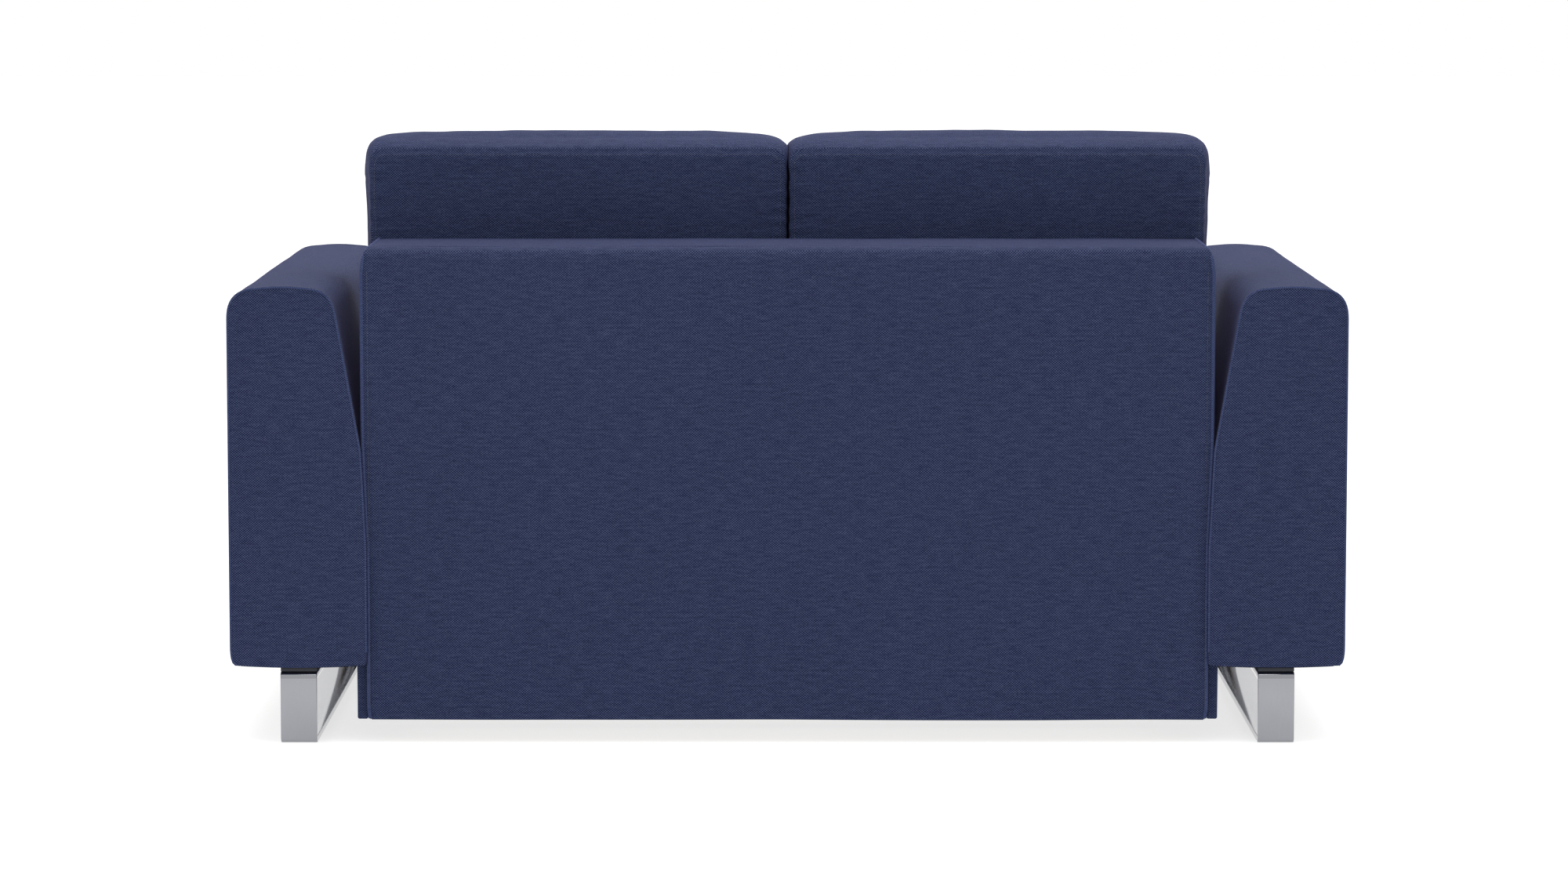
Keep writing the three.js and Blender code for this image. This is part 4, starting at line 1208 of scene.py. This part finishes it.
def seam_threads(cushion, loops, offset, name, body, sizes):
    """A row of stitches beside each seam, laid on the finished cushion."""
    graph = bpy.context.evaluated_depsgraph_get()
    skin = BVHTree.FromObject(cushion, graph)
    vertices, edges = [], []
    for loop in loops:
        dense = densified(np.array(loop) + np.array(offset), 0.004)
        base = len(vertices)
        for point in dense:
            place, normal, _, _ = skin.find_nearest(Vector(point))
            vertices.append(place - normal * sizes.stitch_gauge * 0.2)
        edges += [(base + a, base + b) for a, b in path_edges(len(dense), closed=True)]
    add_stitches(name, vertices, body, sizes, edges)


def back_outline(inner, foot, outer, bottom, top, corner):
    """A back cushion's face from its inner bottom corner round, as (x, z), x growing outward."""
    drop = corner
    small = 0.012
    points = bow((inner, bottom + small), (inner, bottom), (inner + small, bottom), 4)
    points += line((inner + small, bottom), (foot - small, bottom), 40)
    points += bow((foot - small, bottom), (foot, bottom), (foot + 0.0004, bottom + small), 4)
    points += line((foot + 0.0004, bottom + small), (outer, top - drop), 24)
    points += bow((outer, top - drop), (outer - 0.001, top - 0.001), (outer - 0.022, top), 10)
    points += line((outer - 0.022, top), (inner + 0.020, top), 40)
    points += bow((inner + 0.020, top), (inner + 0.001, top - 0.003), (inner, top - drop * 0.8), 10)
    points += line((inner, top - drop * 0.8), (inner, bottom + small), 24)
    return np.array(points)


def make_back_cushion(side, sign, settings, sizes):
    low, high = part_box(f"back_cushion_{side}")
    inner = min(abs(low.x), abs(high.x))
    outer = max(abs(low.x), abs(high.x))
    outline = back_outline(inner + 0.002, outer - 0.012, outer - 0.005, low.z + 0.002,
                           high.z - settings.back_crown, settings.back_corner)
    outline[:, 0] *= sign
    front = low.y + settings.back_face
    rear = high.y - 0.0025

    def ring(y, inset=0.0):
        return np.insert(inset_loop(outline, inset), 1, y, axis=1)

    def border(y):
        """The border between the two seams, already domed: most at the top, a little at the sides."""
        dome = max(0, 1 - (2 * (y - front) / (rear - front) - 1) ** 4)
        out = outline - inset_loop(outline, 0.01)
        out /= np.maximum(np.linalg.norm(out, axis=1, keepdims=True), 1e-9)
        outer_side = np.clip(out[:, 0] * sign, 0, 1)
        rise = settings.back_crown * 0.7 * np.clip(out[:, 1], 0, 1) + settings.back_side * 0.5 * outer_side
        return np.insert(outline + out * (dome * rise)[:, None], 1, y, axis=1)

    depths = front + (rear - front) * (1 - np.cos(np.linspace(0, math.pi, 26))) / 2
    rings = cap_rings(ring(front)) + [border(y) for y in depths]
    rings += cap_rings(ring(rear))[::-1]
    base = loft(f"back_shape_{side}", rings)
    loops = [ring(front), ring(rear)]
    swell = ((0.002, settings.back_side * 0.5) if sign > 0 else (settings.back_side * 0.5, 0.002),
             (settings.back_face, 0.002), (0.001, settings.back_crown * 0.3))
    cushion = sewn_cushion(f"back_pillow_{side}", base, loops, settings, swell, 11 + sign)
    co = points_of(cushion.data)
    co[:, 1] = np.minimum(co[:, 1], high.y)
    across = np.clip((co[:, 1] - low.y) / (high.y - low.y), 0, 1)
    meeting = settings.meeting * np.sin(TAU * across)
    near = np.clip(1 - (co[:, 0] * sign - inner) / 0.02, 0, 1)
    co[:, 0] -= sign * near * inner
    co[:, 0] += near * meeting
    co[:, 0] = np.where((co[:, 0] - meeting) * sign < 0.0003, meeting + sign * 0.0003, co[:, 0])
    set_points(cushion.data, co)
    finish_piece(cushion, "back_section", "cloth", [f"back_cushion_{side}"])
    seam_threads(cushion, [ring(rear, 0.004)], (0, 0.004, 0), f"back_pillow_stitches_{side}",
                 "back_section", sizes)
    seam_threads(cushion, [ring(front, 0.004)], (0, -0.004, 0), f"back_pillow_front_stitches_{side}",
                 "back_section", sizes)


def seat_outline(front, rear, bottom, top, nose, small):
    """A seat cushion's side view as (y, z), from the front bottom corner round."""
    points = line((front + small, bottom), (rear - small, bottom), 50)
    points += bow((rear - small, bottom), (rear, bottom), (rear, bottom + small), 4)
    points += line((rear, bottom + small), (rear, top - small), 6)
    points += bow((rear, top - small), (rear, top), (rear - small, top), 4)
    points += line((rear - small, top), (front + nose, top), 50)
    points += bow((front + nose, top), (front, top), (front, top - nose), 12)
    points += line((front, top - nose), (front, bottom + small), 5)
    points += bow((front, bottom + small), (front, bottom), (front + small, bottom), 4)
    return np.array(points)


def make_seat_cushion(side, sign, settings, sizes):
    low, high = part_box(f"seat_cushion_{side}")
    inner = min(abs(low.x), abs(high.x)) + 0.003
    outer = max(abs(low.x), abs(high.x)) - settings.seat_side
    outline = seat_outline(low.y + 0.008, high.y - 0.003, low.z + 0.001, high.z - settings.seat_crown,
                           SEAT_NOSE, SEAT_CORNER)

    def ring(x):
        return np.insert(outline, 0, sign * x, axis=1)

    rings = cap_rings(ring(inner)) + [ring(x) for x in np.linspace(inner, outer, 30)]
    rings += cap_rings(ring(outer))[::-1]
    base = loft(f"seat_shape_{side}", rings)
    loops = [ring(inner), ring(outer)]
    swell = ((0.001, settings.seat_side) if sign > 0 else (settings.seat_side, 0.001),
             (0.006, 0.002), (0.0005, settings.seat_crown))
    cushion = sewn_cushion(f"seat_pillow_{side}", base, loops, settings, swell, 21 + sign)
    co = points_of(cushion.data)
    co[:, 2] = np.maximum(co[:, 2], low.z - 0.001)
    set_points(cushion.data, co)
    finish_piece(cushion, "seat_section", "cloth", [f"seat_cushion_{side}"])
    for place, x in (("inner", inner + 0.004), ("outer", outer - 0.004)):
        seam_threads(cushion, [ring(x)], (0, 0, 0.002), f"seat_pillow_stitches_{side}_{place}",
                     "seat_section", sizes)


# ---------- mattress ----------


def quilted(co, low, high, axis, pitch, depth):
    """Presses diamonds of quilting into the two wide faces of a box, which face along axis."""
    others = [a for a in range(3) if a != axis]
    a = co[:, others[0]] - (low[others[0]] + high[others[0]]) / 2
    b = co[:, others[1]] - (low[others[1]] + high[others[1]]) / 2
    lines_a = np.abs(np.sin(math.pi * (a + b) / (pitch * math.sqrt(2))))
    lines_b = np.abs(np.sin(math.pi * (a - b) / (pitch * math.sqrt(2))))
    puff = (lines_a * lines_b) ** 0.35
    middle = (low[axis] + high[axis]) / 2
    half = (high[axis] - low[axis]) / 2
    toward = (co[:, axis] - middle) / half
    facing = np.clip((np.abs(toward) - 0.93) / 0.06, 0, 1)
    rim = np.minimum.reduce([co[:, others[0]] - low[others[0]], high[others[0]] - co[:, others[0]],
                             co[:, others[1]] - low[others[1]], high[others[1]] - co[:, others[1]]])
    inside = np.clip((rim - 0.006) / 0.014, 0, 1)
    out = co.copy()
    out[:, axis] -= np.sign(toward) * facing * inside * depth * (1 - puff)
    return out


def make_mattress(node, name, body, axis, settings):
    low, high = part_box(node)
    low = np.array(low) + MATTRESS_SLACK
    high = np.array(high) - MATTRESS_SLACK
    edge = MATTRESS_EDGE
    steps = [edge_steps(low[a], high[a], edge, 0.02 if a == axis else MATTRESS_STEP) for a in range(3)]
    co, faces = box_surface(*steps)
    co = rounded(co, low, high, edge)
    co = quilted(co, low, high, axis, settings.quilt_pitch, settings.quilt_depth)
    mattress = new_object(name, co, faces)
    lay_weave(mattress)
    finish_piece(mattress, body, "ticking", [node])
    for place, level in (("lower", low[axis] + edge * 0.35), ("upper", high[axis] - edge * 0.35)):
        add_piping(f"{name}_piping_{place}", border_path(low, high, axis, level), MATTRESS_PIPING, body,
                   "ticking", 0.008, closed=True)


def border_path(low, high, axis, level):
    """The line round a mattress section's border, square to axis and level along it."""
    first, second = (a for a in range(3) if a != axis)
    reach = MATTRESS_EDGE - MATTRESS_LINE
    path = []
    for far_first, far_second, start in ((1, 1, 0), (0, 1, 90), (0, 0, 180), (1, 0, 270)):
        middle_first = high[first] - MATTRESS_EDGE if far_first else low[first] + MATTRESS_EDGE
        middle_second = high[second] - MATTRESS_EDGE if far_second else low[second] + MATTRESS_EDGE
        for i in range(7):
            t = math.radians(start + 15 * i)
            point = [0.0, 0.0, 0.0]
            point[axis] = level
            point[first] = middle_first + reach * math.cos(t)
            point[second] = middle_second + reach * math.sin(t)
            path.append(point)
    return path


# ---------- steel ----------


def bent_loop(low, high, setback, radius):
    """A bent bar's rounded loop seen from its side, as (y, z), setback inside its outer face."""
    points = []
    corners = ((high.y, low.z, -90), (high.y, high.z, 0), (low.y, high.z, 90), (low.y, low.z, 180))
    for y, z, start in corners:
        centre_y = y - math.copysign(setback + radius, y)
        centre_z = z + setback + radius if z == low.z else z - setback - radius
        for i in range(CORNER_STEPS + 1):
            t = math.radians(start + 90 * i / CORNER_STEPS)
            points.append((centre_y + radius * math.cos(t), centre_z + radius * math.sin(t)))
    return points


def make_leg(side, hardware):
    """A closed loop of flat bar with bent corners and broken edges."""
    low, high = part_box(f"sled_leg_{side}")
    outside = bent_loop(low, high, 0, hardware.leg_bend)
    inner_bend = max(LEAST_BEND, hardware.leg_bend - hardware.leg_bar)
    inside = bent_loop(low, high, hardware.leg_bar, inner_bend)
    n = len(outside)
    vertices = [(x, y, z) for x in (low.x, high.x) for y, z in outside + inside]
    faces = []
    for j in range(n):
        k = (j + 1) % n
        faces += [(j, k, n + k, n + j), (2 * n + j, 3 * n + j, 3 * n + k, 2 * n + k),
                  (j, 2 * n + j, 2 * n + k, k), (n + j, n + k, 3 * n + k, 3 * n + j)]
    leg = new_object(f"leg_{side}", vertices, faces)
    break_edges(leg, hardware.leg_edge, 3)
    finish_piece(leg, "body", "satin", [f"sled_leg_{side}"])


def break_edges(obj, width, segments, angle=35):
    bevel = obj.modifiers.new("broken edges", "BEVEL")
    bevel.width = width
    bevel.segments = segments
    bevel.limit_method = "ANGLE"
    bevel.angle_limit = math.radians(angle)
    bevel.harden_normals = False
    bevel.use_clamp_overlap = True
    bake_modifiers(obj)
    smooth_by_angle(obj, 32)


def smooth_by_angle(obj, degrees):
    mesh = obj.data
    shade_smooth(obj)
    work = bmesh.new()
    work.from_mesh(mesh)
    for edge in work.edges:
        edge.smooth = len(edge.link_faces) != 2 or edge.calc_face_angle(0) < math.radians(degrees)
    work.to_mesh(mesh)
    work.free()


def dressed_copy(node, name, body, finish, width):
    """A copy of a welded or turned piece with its edges broken."""
    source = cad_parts[node]
    mesh = source.data.copy()
    work = bmesh.new()
    work.from_mesh(mesh)
    bmesh.ops.remove_doubles(work, verts=work.verts, dist=1e-5)
    bmesh.ops.dissolve_limit(work, angle_limit=math.radians(0.8), verts=work.verts, edges=work.edges)
    work.to_mesh(mesh)
    work.free()
    for layer in list(mesh.uv_layers):
        mesh.uv_layers.remove(layer)
    obj = bpy.data.objects.new(name, mesh)
    bpy.context.collection.objects.link(obj)
    break_edges(obj, width, 2, 30)
    finish_piece(obj, body, finish, [node])


def make_deck(node, name, body, flat_axis, hardware):
    """Welded wires in place of a mattress support; flat_axis is the direction that it faces."""
    low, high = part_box(node)
    middle = (low + high) / 2
    size = high - low - Vector((1, 1, 1)) * 2 * hardware.wire_inset
    depth = size.y if flat_axis == 2 else size.z
    sheet = grow(name, deck_tree(), [(0, 0, 0)], [],
                 {"Width": size.x, "Depth": depth, "Pitch": hardware.wire_pitch,
                  "Radius": hardware.wire_radius}, "coat")
    co = points_of(sheet.data)
    if flat_axis == 1:
        co = np.stack([co[:, 0], -co[:, 2], co[:, 1]], 1)
    set_points(sheet.data, co + np.array(middle))
    finish_piece(sheet, body, "coat", [node])


def make_screws(hardware):
    """Five screws up through each leg's upper bar into the arm."""
    for side, _ in SIDES:
        low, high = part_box(f"sled_leg_{side}")
        x = (low.x + high.x) / 2
        z = high.z - hardware.leg_bar
        places = [(x, y, z) for y in (low.y + 0.045, low.y + 0.075, 0.0, high.y - 0.075, high.y - 0.045)]
        screws = grow(f"leg_screws_{side}", screw_tree(), places, [],
                      {"Radius": hardware.screw_radius, "Height": hardware.screw_height}, "zinc",
                      facing=[(0, 0, -1)] * len(places))
        finish_piece(screws, "body", "zinc")


# ---------- operators ----------


class SOFA_OT_finishes(bpy.types.Operator):
    """Makes the cloths, metals, plastic, wood and ticking"""

    bl_idname = "sofa.finishes"
    bl_label = "Finishes"

    def execute(self, context):
        make_finishes(context.scene.sofa_colours)
        return {"FINISHED"}


class SOFA_OT_stage(bpy.types.Operator):
    """Makes the floor, the soft light and the camera"""

    bl_idname = "sofa.stage"
    bl_label = "Stage"

    def execute(self, context):
        scene = context.scene
        bpy.ops.mesh.primitive_plane_add(size=FLOOR_SIZE, location=(0, 0, 0))
        floor = context.object
        floor.name = "studio_floor"
        paint(floor, "floor")
        world = bpy.data.worlds.new("studio")
        scene.world = world
        world.use_nodes = True
        background = world.node_tree.nodes["Background"]
        background.inputs["Color"].default_value = (1, 1, 1, 1)
        background.inputs["Strength"].default_value = 1.0
        lamp = bpy.data.lights.new("overhead", "AREA")
        lamp.shape = "DISK"
        lamp.energy = LAMP_POWER
        lamp.size = LAMP_SIZE
        above = bpy.data.objects.new("overhead", lamp)
        above.location = (0, 0, LAMP_HEIGHT)
        scene.collection.objects.link(above)
        camera = bpy.data.cameras.new("camera")
        camera.sensor_width = SENSOR_WIDTH
        camera.lens = CAMERA_LENS
        view = bpy.data.objects.new("camera", camera)
        view.location = CAMERA_PLACE
        view.rotation_euler = (math.radians(90 - CAMERA_TILT), 0, math.pi)
        scene.collection.objects.link(view)
        scene.camera = view
        scene.view_settings.view_transform = "Standard"
        return {"FINISHED"}


class SOFA_OT_arms(bpy.types.Operator):
    """Makes the two upholstered arms with their welts, the near-black painted-shade sheets under them, and
    the covered boards inside them
    """

    bl_idname = "sofa.arms"
    bl_label = "Arms"

    def execute(self, context):
        sizes = context.scene.sofa_upholstery
        for side, sign in SIDES:
            make_arm(side, sign, sizes)
            # A near-black sheet under the arm: painted shade.
            make_painted_shade_sheet(side, sign, sizes)
            covered_board(f"side_board_{side}", f"side_panel_{side}", "body", sizes, (0.0008, 0, 0))
        return {"FINISHED"}


class SOFA_OT_panels(bpy.types.Operator):
    """Makes the rear panel, the ledge, the front rail, the valance and the padded back board"""

    bl_idname = "sofa.panels"
    bl_label = "Panels"

    def execute(self, context):
        sizes = context.scene.sofa_upholstery
        make_rear_panel(sizes)
        make_ledge(sizes)
        make_ledge_sides(sizes)
        covered_board("front_rail", "front_apron", "body", sizes, (0, 0.0010, 0))
        covered_board("seat_valance", "seat_front", "seat_section", sizes, (0, 0.0016, 0), 0.005)
        pad = covered_board("back_pad", "back_padding", "back_section", sizes, (0, 0.0012, 0), 0.007)
        return {"FINISHED"}


class SOFA_OT_cushions(bpy.types.Operator):
    """Makes the two back cushions and the two seat cushions"""

    bl_idname = "sofa.cushions"
    bl_label = "Cushions"

    def execute(self, context):
        settings = context.scene.sofa_cushions
        sizes = context.scene.sofa_upholstery
        for side, sign in SIDES:
            make_back_cushion(side, sign, settings, sizes)
            make_seat_cushion(side, sign, settings, sizes)
        return {"FINISHED"}


class SOFA_OT_mattress(bpy.types.Operator):
    """Makes the three quilted mattress sections"""

    bl_idname = "sofa.mattress"
    bl_label = "Mattress"

    def execute(self, context):
        settings = context.scene.sofa_cushions
        for node, name, body, axis in (
            ("mattress_head", "mattress_quilted_head", "head_section", 2),
            ("mattress_middle", "mattress_quilted_middle", "seat_section", 2),
            ("mattress_foot", "mattress_quilted_foot", "back_section", 1),
        ):
            make_mattress(node, name, body, axis, settings)
        return {"FINISHED"}


class SOFA_OT_legs(bpy.types.Operator):
    """Makes the sled legs, their spacers and their screws"""

    bl_idname = "sofa.legs"
    bl_label = "Legs"

    def execute(self, context):
        hardware = context.scene.sofa_hardware
        for side, _ in SIDES:
            make_leg(side, hardware)
            for end in ("front", "rear"):
                dressed_copy(f"leg_pad_{side}_{end}", f"leg_spacer_{side}_{end}", "body", "plastic",
                             hardware.spacer_edge)
        make_screws(hardware)
        return {"FINISHED"}


class SOFA_OT_mechanism(bpy.types.Operator):
    """Dresses the welded frames, links, plates and foot tubes, and makes the decks of wire"""

    bl_idname = "sofa.mechanism"
    bl_label = "Mechanism"

    def execute(self, context):
        hardware = context.scene.sofa_hardware
        edge = hardware.steel_edge
        for node, body in (("head_frame", "head_section"), ("seat_frame", "seat_section"),
                           ("back_frame", "back_section"), ("base_crossbar_front", "body"),
                           ("base_crossbar_rear", "body"), ("mechanism_plate_left", "body"),
                           ("mechanism_plate_right", "body")):
            dressed_copy(node, f"coated_{node}", body, "coat", edge)
        for end in ("front", "rear"):
            for part in ("link_left", "link_right", "link_shaft"):
                dressed_copy(f"{end}_{part}", f"plated_{end}_{part}", f"{end}_links", "zinc", edge)
        for side, _ in SIDES:
            dressed_copy(f"foot_tube_{side}", f"plated_foot_tube_{side}", "back_section", "zinc",
                         hardware.tube_edge)
            dressed_copy(f"foot_glide_{side}", f"moulded_foot_glide_{side}", "back_section", "plastic",
                         hardware.glide_edge)
        make_deck("head_deck", "wire_deck_head", "head_section", 2, hardware)
        make_deck("seat_deck", "wire_deck_seat", "seat_section", 2, hardware)
        make_deck("back_deck", "wire_deck_back", "back_section", 1, hardware)
        return {"FINISHED"}


class SOFA_OT_boards(bpy.types.Operator):
    """Gives the hidden boards their plywood"""

    bl_idname = "sofa.boards"
    bl_label = "Boards"

    def execute(self, context):
        for node in ("arm_frame_left", "arm_frame_right", "rear_board"):
            paint(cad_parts[node], "wood")
        return {"FINISHED"}


class SOFA_PT_panel(bpy.types.Panel):
    """Sizes, colours and operators of the sofa bed"""

    bl_idname = "SOFA_PT_panel"
    bl_label = "Sofa Bed"
    bl_space_type = "VIEW_3D"
    bl_region_type = "UI"
    bl_category = "Sofa Bed"

    def draw(self, context):
        for group in GROUPS:
            box = self.layout.box()
            for name in getattr(context.scene, group).bl_rna.properties.keys():
                if name not in ("rna_type", "name"):
                    box.prop(getattr(context.scene, group), name)
        for operator in OPERATORS:
            self.layout.operator(operator.bl_idname)


GROUPS = {
    "sofa_upholstery": SofaUpholstery,
    "sofa_cushions": SofaCushions,
    "sofa_hardware": SofaHardware,
    "sofa_colours": SofaColours,
}
OPERATORS = (
    SOFA_OT_finishes,
    SOFA_OT_stage,
    SOFA_OT_arms,
    SOFA_OT_panels,
    SOFA_OT_cushions,
    SOFA_OT_mattress,
    SOFA_OT_legs,
    SOFA_OT_mechanism,
    SOFA_OT_boards,
)


def register():
    for group in (*GROUPS.values(), *OPERATORS, SOFA_PT_panel):
        bpy.utils.register_class(group)
    for name, group in GROUPS.items():
        setattr(bpy.types.Scene, name, PointerProperty(type=group))


def unregister():
    for name in GROUPS:
        delattr(bpy.types.Scene, name)
    for group in (SOFA_PT_panel, *reversed(OPERATORS), *reversed(list(GROUPS.values()))):
        bpy.utils.unregister_class(group)


def main():
    register()
    for operator in OPERATORS:
        area, name = operator.bl_idname.split(".")
        getattr(getattr(bpy.ops, area), name)()


if __name__ == "__main__":
    main()
